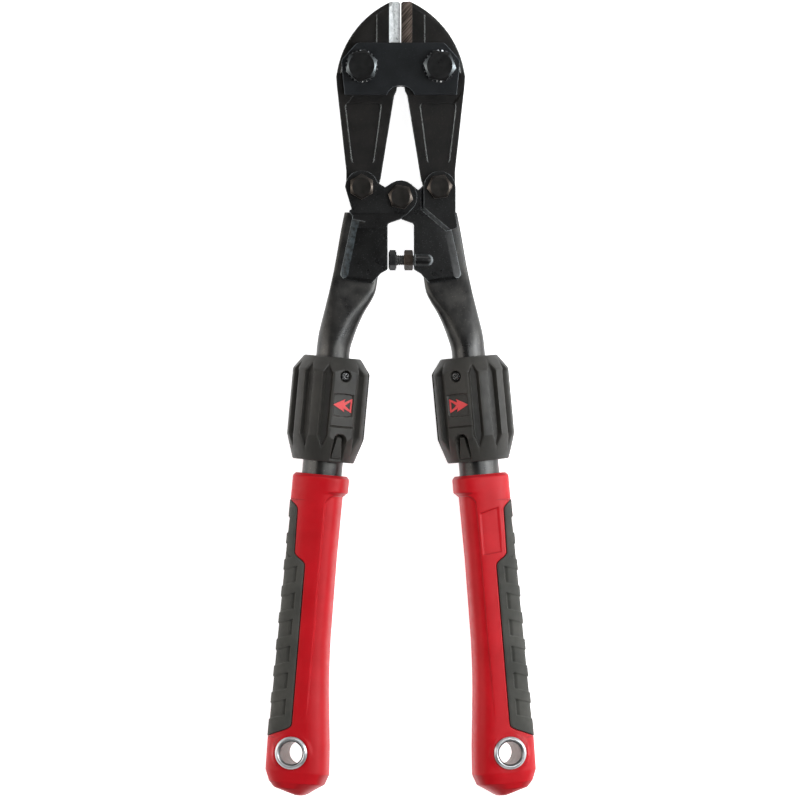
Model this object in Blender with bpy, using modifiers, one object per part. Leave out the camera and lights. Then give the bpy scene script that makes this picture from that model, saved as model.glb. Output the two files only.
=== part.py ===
"""Bolt cutters with telescoping handles and twist locks, as separate named pieces.

The tool lies on its back. +X is to the right, +Y runs towards the jaws and +Z is its front.
Pieces are drawn in millimetres about the point midway between the two jaw bolts, and the root
empty carries them to the object's frame, whose origin is the bottom centre of the bounding box.
Pieces that come in pairs are drawn for the right side, where side is 1; the left side is -1.
"""

import math

import bmesh
import bpy
from mathutils import Matrix, Vector

MM = 0.001
HEAD_FORWARD = 149.254
HEAD_LIFT = 17.392
BIG = 60.0

# Pivots of the linkage.
JAW_PIVOT = (17.5, 0.0)
LINK_PIVOT = (17.5, -54.2)
CENTRE_PIVOT = (0.0, -58.7)

# Layers, as distances from the tool's middle plane.
GAP = 0.3
CORE_HALF = 4.8
WING_HALF = 3.9
EDGE_HALF = 0.6
COVER_INNER = CORE_HALF + GAP
EAR_OUTER = 8.2
PLATE_OUTER = COVER_INNER + 4.0
RECESS_DEPTH = 1.0

# Fasteners: across flats, shank radius and the radius of the holes that take them.
JAW_BOLT_FLATS, JAW_BOLT_RADIUS, JAW_HOLE = 13.0, 3.9, 4.2
LINK_BOLT_FLATS, LINK_BOLT_RADIUS, LINK_HOLE = 10.0, 2.85, 3.15
CENTRE_SLACK_HOLE = 4.9
NUT_THICKNESS, LINK_HEAD = 4.6, 4.0
THREAD_SHOWING = 5.6
STOP_FLATS, STOP_RADIUS, STOP_HOLE = 8.0, 2.4, 2.7
STOP_Y = -87.0
WASHER_RADIUS, WASHER_ROOT, WASHER_THICKNESS = 7.3, 6.6, 1.2
WASHER_TEETH = 24
JAW_HEAD, JAW_NUT = 5.5, 5.6
BOLT_CLEARANCE = 0.2

# Jaw outline: the blade's back is an arc, and the ground bevel falls to the cutting edge.
BLADE_CENTRE, BLADE_RADIUS = (-13.3, -9.5), 42.6
BLADE_EDGE_X = 0.2
BLADE_TOP_Y = 29.3
BEVEL_WIDTH = 5.0
WING_X = 10.8
RIM_WIDTH = 2.0
JAW_LOBE = 7.0

# Connectors: each carries a jaw in a fork, and the right one's tongue turns in the left fork.
LEFT_LOBE, CENTRE_LOBE, RIGHT_LOBE = 7.5, 7.5, 7.2
FORK_FLOOR_Y = -67.3
SLOT_RADIUS = 7.9
INNER_WALL_X = 5.85
POST_X = 9.2
STRIP_WIDTH, STRIP_DROP = 3.6, 1.5
BOSS_RADIUS, BOSS_RISE = 3.4, 1.5
BOSS_END_X = 15.3

# Handle line: it starts at the collar's top face and leans outwards.
HANDLE_START = (30.6, -130.5)
HANDLE_TILT = math.radians(5.28)
GRIP_CANT = math.radians(11)
INNER_TUBE, INNER_BORE, INNER_END = 7.5, 6.0, 160.0
OUTER_TUBE, OUTER_BORE, OUTER_START, OUTER_END = 9.0, 8.0, 4.0, 172.2
TRAVEL = 114.3
BUSH_LENGTH = 4.0

# Collar, measured down the handle from its top face.
COLLAR_LENGTH, COLLAR_RADIUS = 47.0, 17.4
COLLAR_TOP_RADIUS, COLLAR_FOOT_RADIUS = 12.8, 13.7
COLLAR_SHOULDER, COLLAR_WAIST = 6.5, 36.0
CORE_RADIUS, CORE_START, CORE_END = 11.2, 3.2, 44.8
PADS = 10
GROOVE_WIDTH, GROOVE_DEPTH = 4.5, 2.5
PANEL_ANGLE = math.radians(24.5)
PANEL_HALF = math.radians(28.5)
PANEL_RADIUS = 16.6
SCREW_AT, BADGE_AT = 8.3, 21.3
SCREW_RECESS, SCREW_SINK = 2.45, 2.3
NOTCH_TOP, NOTCH_HALF, NOTCH_FLOOR = 34.3, 3.1, 13.2
BADGE_RECESS = (10.2, 10.6, 0.9)
KEY_AT, KEY_WIDTH = 20.0, 4.4
TWIST = math.radians(30)

# Grip, measured down the handle from the collar's top face.
GRIP_START = 53.1
GRIP_BORE = OUTER_TUBE + GAP
EYELET_AT, EYELET_BORE, EYELET_BARREL, EYELET_FLANGE = 178.8, 5.15, 6.1, 7.4
EYELET_FACE = 12.3
GRIP_HALF = 11.0
SECTION_POWER = 0.68
BLANK_PANEL = ((-6.4, 66.5, 1), (1.8, 70.0, 1), (3.4, 90.5, 1), (-5.6, 90.5, 1))
BLANK_PANEL_SINK = 0.5

# Finishes: colour, roughness and metallic value.
BLACK_FORGING = ((0.016, 0.016, 0.015), 0.42, 0.6)
BLUED_STEEL = ((0.022, 0.024, 0.029), 0.45, 0.6)
BOLT_STEEL = ((0.03, 0.025, 0.021), 0.38, 0.8)
SATIN_TUBE = ((0.075, 0.075, 0.072), 0.36, 0.8)
BRIGHT_STEEL = ((0.62, 0.62, 0.6), 0.25, 1.0)
RED_PLASTIC = ((0.58, 0.022, 0.035), 0.4, 0.0)
GREY_RUBBER = ((0.083, 0.083, 0.076), 0.75, 0.0)
COLLAR_PLASTIC = ((0.045, 0.042, 0.036), 0.5, 0.0)
BUSH_PLASTIC = ((0.02, 0.02, 0.02), 0.5, 0.0)


def clear_scene():
    for piece in list(bpy.data.objects):
        bpy.data.objects.remove(piece, do_unlink=True)


clear_scene()
PARTS = bpy.data.collections.new("bolt_cutters")
CUTTERS = bpy.data.collections.new("cutters")
bpy.context.scene.collection.children.link(PARTS)
bpy.context.scene.collection.children.link(CUTTERS)


# ---------------------------------------------------------------- frames and finishes


def frame_empty(name, matrix, parent=None):
    empty = bpy.data.objects.new(name, None)
    empty.empty_display_size = 0.02
    PARTS.objects.link(empty)
    attach(empty, parent, matrix)
    return empty


def attach(piece, parent, matrix):
    """Place a piece by its matrix in the drawing frame, whatever its parent is."""
    piece.parent = parent
    piece.matrix_basis = matrix
    if parent and parent.parent:
        piece.matrix_parent_inverse = parent.matrix_basis.inverted()


def finish(piece, parent, look, matrix=None):
    """Make a drawn shape a piece of the tool: its parent, its place and its own material."""
    colour, roughness, metallic = look
    material = bpy.data.materials.new(piece.name + "_finish")
    material.use_nodes = True
    shader = material.node_tree.nodes["Principled BSDF"]
    shader.inputs["Base Color"].default_value = (*colour, 1)
    shader.inputs["Roughness"].default_value = roughness
    shader.inputs["Metallic"].default_value = metallic
    piece.data.materials.clear()
    piece.data.materials.append(material)
    attach(piece, parent, matrix or Matrix())
    return piece


def combine(piece, other, operation, matrix=None):
    """Cut a piece by a helper, join them or keep what they share."""
    PARTS.objects.unlink(other)
    CUTTERS.objects.link(other)
    other.hide_render = True
    other.display_type = "WIRE"
    attach(other, ROOT, matrix or Matrix())
    modifier = piece.modifiers.new(other.name, "BOOLEAN")
    modifier.operation = operation
    modifier.object = other


def cut(piece, other, matrix=None):
    combine(piece, other, "DIFFERENCE", matrix)


def join(piece, other, matrix=None):
    combine(piece, other, "UNION", matrix)


def shift(x, y, z=0.0, turn=0.0):
    return Matrix.Translation(Vector((x, y, z)) * MM) @ Matrix.Rotation(turn, 4, "Z")


def handle_frame(side, turn=0.0, down=0.0):
    """Z runs down the handle, Y points to the front; turn is about the handle's axis."""
    axis = Vector((side * math.sin(HANDLE_TILT), -math.cos(HANDLE_TILT), 0))
    across = Vector((math.cos(HANDLE_TILT), side * math.sin(HANDLE_TILT), 0))
    frame = Matrix((across, (0, 0, 1), axis)).transposed().to_4x4()
    frame.translation = Vector((side * HANDLE_START[0], HANDLE_START[1], 0)) * MM
    return frame @ Matrix.Rotation(turn, 4, "Z") @ Matrix.Translation((0, 0, down * MM))


# ---------------------------------------------------------------- outlines


def arc(centre, radius, start, end, steps):
    angles = [math.radians(start + (end - start) * i / steps) for i in range(steps + 1)]
    return [(centre[0] + radius * math.cos(a), centre[1] + radius * math.sin(a)) for a in angles]


def circle(centre, radius, steps=24):
    return arc(centre, radius, 0, 360, steps)[:-1]


def mirrored(points, side):
    return [(side * x, y) for x, y in points]


def rounded(corners, steps=3):
    """Points of a closed outline; a corner given as (x, y, radius) is rounded."""
    points = []
    for index, corner in enumerate(corners):
        here = Vector(corner[:2])
        if len(corner) == 2:
            points.append(tuple(here))
            continue
        back = (Vector(corners[index - 1][:2]) - here).normalized()
        ahead = (Vector(corners[(index + 1) % len(corners)][:2]) - here).normalized()
        half = back.angle(ahead) / 2
        middle = here + (back + ahead).normalized() * corner[2] / math.sin(half)
        first = here + back * corner[2] / math.tan(half) - middle
        sweep = math.copysign(math.pi - 2 * half, -back.cross(ahead))
        for step in range(steps + 1):
            spoke = first.copy()
            spoke.rotate(Matrix.Rotation(sweep * step / steps, 2))
            points.append(tuple(middle + spoke))
    return points


# ---------------------------------------------------------------- shapes


def add_mesh(name, shape):
    bmesh.ops.recalc_face_normals(shape, faces=shape.faces)
    mesh = bpy.data.meshes.new(name)
    shape.to_mesh(mesh)
    shape.free()
    piece = bpy.data.objects.new(name, mesh)
    PARTS.objects.link(piece)
    return piece


def plate(name, outlines, low, high):
    """A flat piece between two heights; the first outline is its edge, the others are holes."""
    curve = bpy.data.curves.new(name, "CURVE")
    curve.dimensions = "2D"
    curve.fill_mode = "BOTH"
    curve.extrude = (high - low) / 2 * MM
    for outline in outlines:
        spline = curve.splines.new("POLY")
        spline.points.add(len(outline) - 1)
        for point, (x, y) in zip(spline.points, outline):
            point.co = (x * MM, y * MM, 0, 1)
        spline.use_cyclic_u = True
    drawing = bpy.data.objects.new(name, curve)
    PARTS.objects.link(drawing)
    bpy.context.view_layer.update()
    graph = bpy.context.evaluated_depsgraph_get()
    mesh = bpy.data.meshes.new_from_object(drawing.evaluated_get(graph))
    bpy.data.objects.remove(drawing)
    bpy.data.curves.remove(curve)
    shape = bmesh.new()
    shape.from_mesh(mesh)
    bpy.data.meshes.remove(mesh)
    bmesh.ops.remove_doubles(shape, verts=shape.verts, dist=0.000001)
    bmesh.ops.translate(shape, verts=shape.verts, vec=(0, 0, (low + high) / 2 * MM))
    return add_mesh(name, shape)


def turned(name, profile, steps=24, ring=False):
    """A shape turned about Z from (radius, height) points that run down its outer side."""
    mesh = bpy.data.meshes.new(name)
    count = len(profile)
    edges = [(i, (i + 1) % count) for i in range(count if ring else count - 1)]
    mesh.from_pydata([(radius * MM, 0, height * MM) for radius, height in profile], edges, [])
    piece = bpy.data.objects.new(name, mesh)
    PARTS.objects.link(piece)
    screw = piece.modifiers.new("turn", "SCREW")
    screw.axis = "Z"
    screw.steps = steps
    screw.render_steps = steps
    screw.use_merge_vertices = True
    screw.merge_threshold = 0.00001
    return piece


def rod(name, radius, low, high, steps=24):
    return turned(name, [(0, high), (radius, high), (radius, low), (0, low)], steps)


def block(name, low, high):
    shape = bmesh.new()
    bmesh.ops.create_cube(shape, size=1)
    size = (Vector(high) - Vector(low)) * MM
    middle = (Vector(high) + Vector(low)) / 2 * MM
    bmesh.ops.scale(shape, verts=shape.verts, vec=size)
    bmesh.ops.translate(shape, verts=shape.verts, vec=middle)
    return add_mesh(name, shape)


def hexagon(name, flats, low, high):
    """A hexagonal bar about Z with a corner on X."""
    shape = bmesh.new()
    bmesh.ops.create_cone(
        shape,
        cap_ends=True,
        segments=6,
        radius1=flats / math.sqrt(3) * MM,
        radius2=flats / math.sqrt(3) * MM,
        depth=(high - low) * MM,
        matrix=shift(0, 0, (low + high) / 2, math.radians(30)),
    )
    return add_mesh(name, shape)


def loft(name, rings):
    """A closed skin over rings that hold the same number of points."""
    shape = bmesh.new()
    rows = [[shape.verts.new(Vector(point) * MM) for point in ring] for ring in rings]
    count = len(rings[0])
    for near, far in zip(rows, rows[1:]):
        for i in range(count):
            shape.faces.new((near[i], near[(i + 1) % count], far[(i + 1) % count], far[i]))
    shape.faces.new(rows[0])
    shape.faces.new(rows[-1])
    return add_mesh(name, shape)


def slope_cutter(name, start, end, towards, low, high, run, apron):
    """A box whose underside rises from low, on the line from start to end, to high, run away.

    The underside carries on past the line by the apron, at the same slope.
    """
    thickness, overrun = 8, 6
    first, last = Vector((*start, 0)), Vector((*end, 0))
    along = (last - first).normalized()
    across = Vector((-along.y, along.x, 0))
    if across.dot(Vector((*towards, 0)) - first) < 0:
        across.negate()
    rise = (across * run + Vector((0, 0, high - low))).normalized()
    up = along.cross(rise)
    if up.z * (1 if low >= 0 else -1) < 0:
        up.negate()
    reach = math.hypot(run, high - low)
    length = (last - first).length
    corners = []
    far = reach + overrun
    for lift in (0, thickness):
        for forth, out in ((0, -apron), (length, -apron), (length, far), (0, far)):
            corners.append(first + along * forth + rise * out + up * lift + Vector((0, 0, low)))
    return loft(name, [corners[:4], corners[4:]])


def slope_both(piece, name, side, start, end, towards, low, high, run, apron=6.0):
    """The same sloping cut on a piece's front and back."""
    start, end, towards = mirrored((start, end, towards), side)
    for face, label in ((1, "front"), (-1, "back")):
        cutter = slope_cutter(f"{name}_{label}", start, end, towards, face * low, face * high, run, apron)
        cut(piece, cutter)


def cut_both(piece, name, outline, depth):
    """Sink an outline into a piece's front and back, down to depth from the middle plane."""
    cut(piece, plate(name + "_front", [outline], depth, depth + 12))
    cut(piece, plate(name + "_back", [outline], -depth - 12, -depth))


# ---------------------------------------------------------------- fasteners


def hex_bolt(name, flats, radius, tip, seat, head, steps=18):
    """A bolt about Z from its tip to the top of its head, with the corners turned off."""
    corner = flats / math.sqrt(3)
    crown = flats / 2 * 0.95
    profile = [(0, head), (crown, head), (corner + 0.1, head - (corner - crown) * 0.55)]
    profile += [(corner + 0.1, seat), (radius, seat), (radius, tip + 0.5), (radius - 0.5, tip), (0, tip)]
    bolt = turned(name, profile, steps)
    combine(bolt, hexagon(name + "_flats", flats, tip - 1, head + 1), "INTERSECT")
    return bolt


def hex_nut(name, flats, bore, low, high, steps=12):
    corner = flats / math.sqrt(3)
    face = flats / 2 * 0.96
    drop = (corner - face) * 0.5
    profile = [(bore, high), (face, high), (corner + 0.1, high - drop), (corner + 0.1, low + drop)]
    profile += [(face, low), (bore, low)]
    nut = turned(name, profile, steps, ring=True)
    combine(nut, hexagon(name + "_flats", flats, low - 1, high + 1), "INTERSECT")
    return nut


def place_with_flats(piece, parent, look, matrix):
    """Finish a bolt or nut, and put the hexagon that shapes it in the same place."""
    finish(piece, parent, look, matrix)
    for modifier in piece.modifiers:
        if modifier.type == "BOOLEAN":
            attach(modifier.object, ROOT, matrix)


def toothed_ring(teeth, tip, root):
    points = []
    for step in range(2 * teeth):
        angle = math.pi * step / teeth
        radius = root if step % 2 else tip
        points.append((radius * math.cos(angle), radius * math.sin(angle)))
    return points


# ---------------------------------------------------------------- head


def plate_outline():
    notch = arc((0, -15.4), 6.8, 22, 158, 8)
    left = [(-25.2, -12.8), (-26.7, 2.6, 3), (-19.6, 10.6, 3)]
    right = [(19.6, 10.6, 3), (26.7, 2.6, 3), (25.2, -12.8)]
    return [*rounded(left + right), *notch]


def make_side_plate(name, face, parent):
    low, high = sorted((face * COVER_INNER, face * PLATE_OUTER))
    holes = [circle((side * JAW_PIVOT[0], 0), JAW_HOLE) for side in (-1, 1)]
    piece = plate(name, [plate_outline(), *holes], low, high)
    return finish(piece, parent, BLUED_STEEL)


def make_head(parent):
    make_side_plate("front_plate", 1, parent)
    make_side_plate("back_plate", -1, parent)
    washer_top = PLATE_OUTER + GAP + WASHER_THICKNESS
    nut_top = -PLATE_OUTER - GAP
    for side, label, turn in ((-1, "left", 20), (1, "right", -9)):
        spot = shift(side * JAW_PIVOT[0], 0, 0, math.radians(turn))
        outlines = [toothed_ring(WASHER_TEETH, WASHER_RADIUS, WASHER_ROOT), circle((0, 0), JAW_HOLE, 12)]
        washer = plate(f"{label}_lock_washer", outlines, PLATE_OUTER + GAP, washer_top)
        finish(washer, parent, BOLT_STEEL, spot)
        tip, seat = -HEAD_LIFT + BOLT_CLEARANCE, washer_top + GAP
        top = washer_top + JAW_HEAD
        bolt = hex_bolt(f"{label}_jaw_bolt", JAW_BOLT_FLATS, JAW_BOLT_RADIUS, tip, seat, top)
        place_with_flats(bolt, parent, BOLT_STEEL, spot)
        nut = hex_nut(f"{label}_jaw_nut", JAW_BOLT_FLATS, JAW_HOLE, nut_top - JAW_NUT, nut_top)
        place_with_flats(nut, parent, BOLT_STEEL, spot)


# ---------------------------------------------------------------- jaws


def jaw_outline():
    back = arc(BLADE_CENTRE, BLADE_RADIUS, 63, 6.5, 14)
    lobe = arc(LINK_PIVOT, JAW_LOBE, 0, -160, 9)
    tip = [(BLADE_EDGE_X, BLADE_TOP_Y - 0.8), (1.0, BLADE_TOP_Y), (4.4, BLADE_TOP_Y)]
    inner = [(9.0, -50.4), (3.2, -14.6), (2.9, -12.9), (1.9, -10.9), (BLADE_EDGE_X, -0.5)]
    return tip + back + [(28.7, -9.0), (24.5, -47.0)] + lobe + inner


def rim_section(angle, face):
    """A section through the chamfer that runs round the blade's back."""
    spoke = Vector((math.cos(angle), math.sin(angle), 0))
    centre = Vector((*BLADE_CENTRE, 0))
    ramp = [(BLADE_RADIUS - RIM_WIDTH, WING_HALF), (BLADE_RADIUS + 3, WING_HALF - 2.6)]
    lid = [(BLADE_RADIUS + 3, WING_HALF + 4), (BLADE_RADIUS - RIM_WIDTH, WING_HALF + 4)]
    return [centre + spoke * radius + Vector((0, 0, face * height)) for radius, height in ramp + lid]


def make_jaw(side, label, parent):
    holes = [circle(JAW_PIVOT, JAW_HOLE), circle(LINK_PIVOT, LINK_HOLE, 20)]
    outlines = [mirrored(outline, side) for outline in (jaw_outline(), *holes)]
    jaw = plate(f"{label}_jaw", outlines, -CORE_HALF, CORE_HALF)
    wing = mirrored([(WING_X, 2.4), (WING_X, 40), (50, 40), (50, 2.4)], side)
    cut_both(jaw, f"{label}_wing", wing, WING_HALF)
    for face, where in ((1, "front"), (-1, "back")):
        rings = [rim_section(math.radians(66 - 57 * i / 14), face) for i in range(15)]
        rings = [[(side * p.x, p.y, p.z) for p in ring] for ring in rings]
        cut(jaw, loft(f"{label}_rim_{where}", rings))
    panel = [(8.6, -16.4, 1.5), (25.0, -16.4, 1.5), (21.8, -43.5, 1.5), (12.2, -43.5, 1.5)]
    cut_both(jaw, f"{label}_arm_panel", mirrored(rounded(panel), side), CORE_HALF - RECESS_DEPTH)
    edge = ((BLADE_EDGE_X, -9.2), (BLADE_EDGE_X, 34), (BIG, 0))
    slope_both(jaw, f"{label}_grind", side, *edge, EDGE_HALF, CORE_HALF, BEVEL_WIDTH)
    return finish(jaw, parent, BLACK_FORGING)


# ---------------------------------------------------------------- lever tubes


def tube_section(outer, inner, half, grow, sides=16):
    """A flattened round section between two points of the outline, half its thickness high."""
    outer, inner = Vector((*outer, 0)), Vector((*inner, 0))
    middle = (outer + inner) / 2
    across = (outer - inner) / 2
    width = across.length
    flatness = 2 / (2 + 1.6 * (width / half - 1))
    ring = []
    for i in range(sides):
        angle = 2 * math.pi * i / sides
        x = math.copysign(abs(math.cos(angle)) ** flatness, math.cos(angle))
        z = math.copysign(abs(math.sin(angle)) ** flatness, math.sin(angle))
        ring.append(middle + across.normalized() * x * (width + grow) + Vector((0, 0, z * (half + grow))))
    return ring


def handle_point(across, down):
    """A point in the tool's plane, from its place along and across the right handle."""
    x = HANDLE_START[0] + across * math.cos(HANDLE_TILT) + down * math.sin(HANDLE_TILT)
    y = HANDLE_START[1] + across * math.sin(HANDLE_TILT) - down * math.cos(HANDLE_TILT)
    return (x, y)


def lever_rings(side, grow=0.0):
    """Sections of the inner tube from its flattened top to its round end."""
    stations = [
        ((25.3, -65.5 + grow), (16.0, -65.5 + grow), 2.6),
        ((26.9, -73.5), (13.0, -73.5), 2.6),
        ((28.4, -82.1), (10.6, -82.1), 2.7),
        ((30.0, -91.0), (10.0, -91.0), 2.9),
        ((31.3, -97.0), (10.6, -97.0), 3.5),
        ((32.2, -101.0), (11.5, -101.6), 4.2),
        ((33.1, -104.6), (13.4, -105.6), 4.9),
        ((34.3, -109.4), (16.4, -110.6), 5.8),
        ((35.7, -114.9), (19.2, -116.6), 6.5),
        ((37.0, -120.4), (21.3, -122.3), 7.1),
        (handle_point(INNER_TUBE, -4), handle_point(-INNER_TUBE, -4), INNER_TUBE),
        (handle_point(INNER_TUBE, INNER_END), handle_point(-INNER_TUBE, INNER_END), INNER_TUBE),
    ]
    rings = [tube_section(outer, inner, half, grow) for outer, inner, half in stations]
    return [[(side * p.x, p.y, p.z) for p in ring] for ring in rings]


def boss_relief(name, side, shrink):
    """The corner of the flattened tube that is trimmed off to clear the stop screw's boss."""
    low, high = sorted((side * -1.0, side * (15.8 - shrink)))
    return block(name, (low, -91.5 + shrink, -12), (high, -60, 12))


def make_inner_tube(side, label, parent):
    tube = loft(f"{label}_inner_tube", lever_rings(side))
    cut(tube, boss_relief(f"{label}_tube_relief", side, 0.0))
    place = handle_frame(side)
    cut(tube, rod(f"{label}_tube_bore", INNER_BORE, -6, INNER_END + 5, 20), place)
    slot_half = KEY_WIDTH / 2 + GAP
    slot = block(f"{label}_tube_slot", (-slot_half, -9, 16.5), (slot_half, -4, KEY_AT + TRAVEL + 3.5))
    cut(tube, slot, place)
    turned_half = KEY_WIDTH / 2 + 2.3
    for number, at in enumerate((KEY_AT, KEY_AT + TRAVEL)):
        name = f"{label}_lock_notch_{number}"
        notch = block(name, (-turned_half, -9, at - 2.7), (turned_half, -4.4, at + 2.7))
        cut(tube, notch, handle_frame(side, side * TWIST / 2))
    finish(tube, parent, SATIN_TUBE)
    low, seat, high = INNER_END - 6, INNER_END + GAP, INNER_END + BUSH_LENGTH
    bore, plug, flange = 4.2, INNER_BORE - GAP, INNER_TUBE + 0.2
    profile = [(bore, high), (flange, high), (flange, seat), (plug, seat), (plug, low), (bore, low)]
    bush = turned(f"{label}_slide_bush", profile, 16, ring=True)
    finish(bush, parent, BUSH_PLASTIC, place)


# ---------------------------------------------------------------- connectors


def body_foot():
    """The corners both connectors share, from the window's corner round to the outer edge."""
    window = [(INNER_WALL_X, -70.6, 1.2), (INNER_WALL_X, -91.2, 1.0)]
    return window + [(9.0, -93.0, 2.0), (12.9, -97.5, 0.8), (25.6, -95.7, 2.0), (27.3, -93.6, 1.0)]


def lever_cavity(side, label):
    """The space that the flattened tube takes, with its clearance."""
    cavity = loft(f"{label}_cavity", lever_rings(side, GAP)[:7])
    cut(cavity, boss_relief(f"{label}_cavity_relief", side, GAP))
    return cavity


def bevel_body(connector, label, side, top):
    """The sloping strips along a connector's outer edge and foot, on both faces."""
    outer = (top, (27.5, -94.6), (0, -80))
    slope_both(connector, f"{label}_strip", side, *outer, CORE_HALF - STRIP_DROP, CORE_HALF, STRIP_WIDTH)
    foot = ((12.0, -97.6), (26.8, -95.5), (18, -80))
    slope_both(connector, f"{label}_foot", side, *foot, CORE_HALF - 0.7, CORE_HALF, 1.8)


def make_left_connector(parent):
    side = -1
    lobe = arc(LINK_PIVOT, LEFT_LOBE, 0, 165, 9)
    centre = arc(CENTRE_PIVOT, CENTRE_LOBE, 58, 222, 9)
    lower = rounded([(-3.2, -66.2), (0.3, -68.6), *body_foot(), (21.6, -67.2, 1.0), (24.8, -64.0, 1.0)])
    holes = [circle(LINK_PIVOT, LINK_HOLE, 20), circle(CENTRE_PIVOT, LINK_HOLE, 20)]
    outlines = [mirrored(points, side) for points in (lobe + [(7.0, -54.3)] + centre + lower, *holes)]
    piece = plate("left_connector", outlines, -EAR_OUTER, EAR_OUTER)
    cut(piece, block("left_fork", (-40, FORK_FLOOR_Y, -COVER_INNER), (20, -40, COVER_INNER)))
    cut(piece, block("left_fork_side", (-0.4, -72, -COVER_INNER), (20, -60, COVER_INNER)))
    ramp = ((-9, -72.5), (40, -72.5), (0, 0))
    slope_both(piece, "left_ramp", side, *ramp, CORE_HALF, EAR_OUTER, 6.5, 0.0)
    low_face = [(-9, -72.4), (-9, -110), (40, -110), (40, -72.4)]
    cut_both(piece, "left_face", mirrored(low_face, side), CORE_HALF)
    bevel_body(piece, "left", side, (22.3, -68.4))
    cut(piece, lever_cavity(side, "left"))
    return finish(piece, parent, BLACK_FORGING)


def make_right_connector(parent):
    side = 1
    tongue = arc(CENTRE_PIVOT, CENTRE_LOBE, 45, 268, 12)
    neck = [(0.3, -67.0), (0.3, -68.6)]
    corner = [(22.9, -73.4, 0.5), (25.6, -72.4, 0.8), (24.7, -66.0)]
    lobe = arc(LINK_PIVOT, RIGHT_LOBE, 0, 172, 9)
    outline = tongue + rounded(neck + body_foot() + corner) + lobe + [(7.9, -55.5)]
    holes = [circle(LINK_PIVOT, LINK_HOLE, 20), circle(CENTRE_PIVOT, CENTRE_SLACK_HOLE, 20)]
    piece = plate("right_connector", [outline, *holes], -EAR_OUTER, EAR_OUTER)
    low_face = [(-12, -45), (-12, -110), (45, -110), (45, -95.23), (POST_X, -64.49), (POST_X, -45)]
    cut_both(piece, "right_face", low_face, CORE_HALF)
    wall = ((7.0, -62.6), (30.0, -82.35), (20, -60))
    slope_both(piece, "right_wall", side, *wall, CORE_HALF, EAR_OUTER, 1.8, 0.0)
    post = ((POST_X, -45.0), (POST_X, -66.7), (20, -60))
    slope_both(piece, "right_post", side, *post, CORE_HALF, EAR_OUTER, 1.2, 0.0)
    for face, where in ((1, "front"), (-1, "back")):
        dome = arc((0, BOSS_END_X - BOSS_RADIUS), BOSS_RADIUS, 90, 0, 4)
        root = INNER_WALL_X + 0.6
        boss = turned(f"right_boss_{where}", [*dome, (BOSS_RADIUS, root), (0, root)], 16)
        height = CORE_HALF + BOSS_RISE - BOSS_RADIUS
        join(piece, boss, shift(0, STOP_Y, face * height) @ Matrix.Rotation(math.radians(90), 4, "Y"))
    cut(piece, plate("right_fork", [circle(LINK_PIVOT, SLOT_RADIUS)], -COVER_INNER, COVER_INNER))
    cut(piece, block("right_fork_side", (LINK_PIVOT[0], -61.2, -COVER_INNER), (40, -40, COVER_INNER)))
    bevel_body(piece, "right", side, (23.5, -73.2))
    cut(piece, lever_cavity(side, "right"))
    along_x = shift(0, STOP_Y) @ Matrix.Rotation(math.radians(90), 4, "Y")
    cut(piece, rod("stop_hole", STOP_HOLE, 0, 14.6, 16), along_x)
    return finish(piece, parent, BLACK_FORGING)


def make_link_fasteners(side, label, spot, turn, parent):
    matrix = shift(side * spot[0], spot[1], 0, math.radians(turn))
    seat, nut_top = EAR_OUTER + GAP, -EAR_OUTER - GAP
    tip = nut_top - THREAD_SHOWING
    bolt = hex_bolt(f"{label}_bolt", LINK_BOLT_FLATS, LINK_BOLT_RADIUS, tip, seat, seat + LINK_HEAD)
    place_with_flats(bolt, parent, BOLT_STEEL, matrix)
    nut = hex_nut(f"{label}_nut", LINK_BOLT_FLATS, LINK_HOLE, nut_top - NUT_THICKNESS, nut_top)
    place_with_flats(nut, parent, BOLT_STEEL, matrix)


def make_stop_screw(parent):
    sideways = Matrix.Rotation(math.radians(-90), 4, "Y")
    matrix = shift(0, STOP_Y) @ sideways @ Matrix.Rotation(math.radians(30), 4, "Z")
    screw = hex_bolt("stop_screw", STOP_FLATS, STOP_RADIUS, -14.0, 1.9, INNER_WALL_X - GAP - 0.1)
    place_with_flats(screw, parent, BOLT_STEEL, matrix)
    nut = hex_nut("stop_jam_nut", STOP_FLATS, STOP_HOLE, -INNER_WALL_X + GAP, -1.5)
    place_with_flats(nut, parent, BOLT_STEEL, matrix)


# ---------------------------------------------------------------- collars


def collar_profile():
    """The sleeve's section: a lip at each end keeps the core inside it."""
    waist, foot = COLLAR_WAIST, COLLAR_LENGTH
    lip_top, lip_foot = INNER_TUBE + GAP, OUTER_TUBE + GAP
    inside = CORE_RADIUS + GAP
    outside = [(COLLAR_FOOT_RADIUS, foot), (COLLAR_RADIUS, waist), (COLLAR_RADIUS, COLLAR_SHOULDER)]
    outside += [(COLLAR_TOP_RADIUS, 0)]
    hollow = [(lip_top, 0), (lip_top, CORE_START - GAP), (inside, CORE_START - GAP)]
    hollow += [(inside, CORE_END + GAP), (lip_foot, CORE_END + GAP), (lip_foot, foot)]
    return outside + hollow


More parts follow.
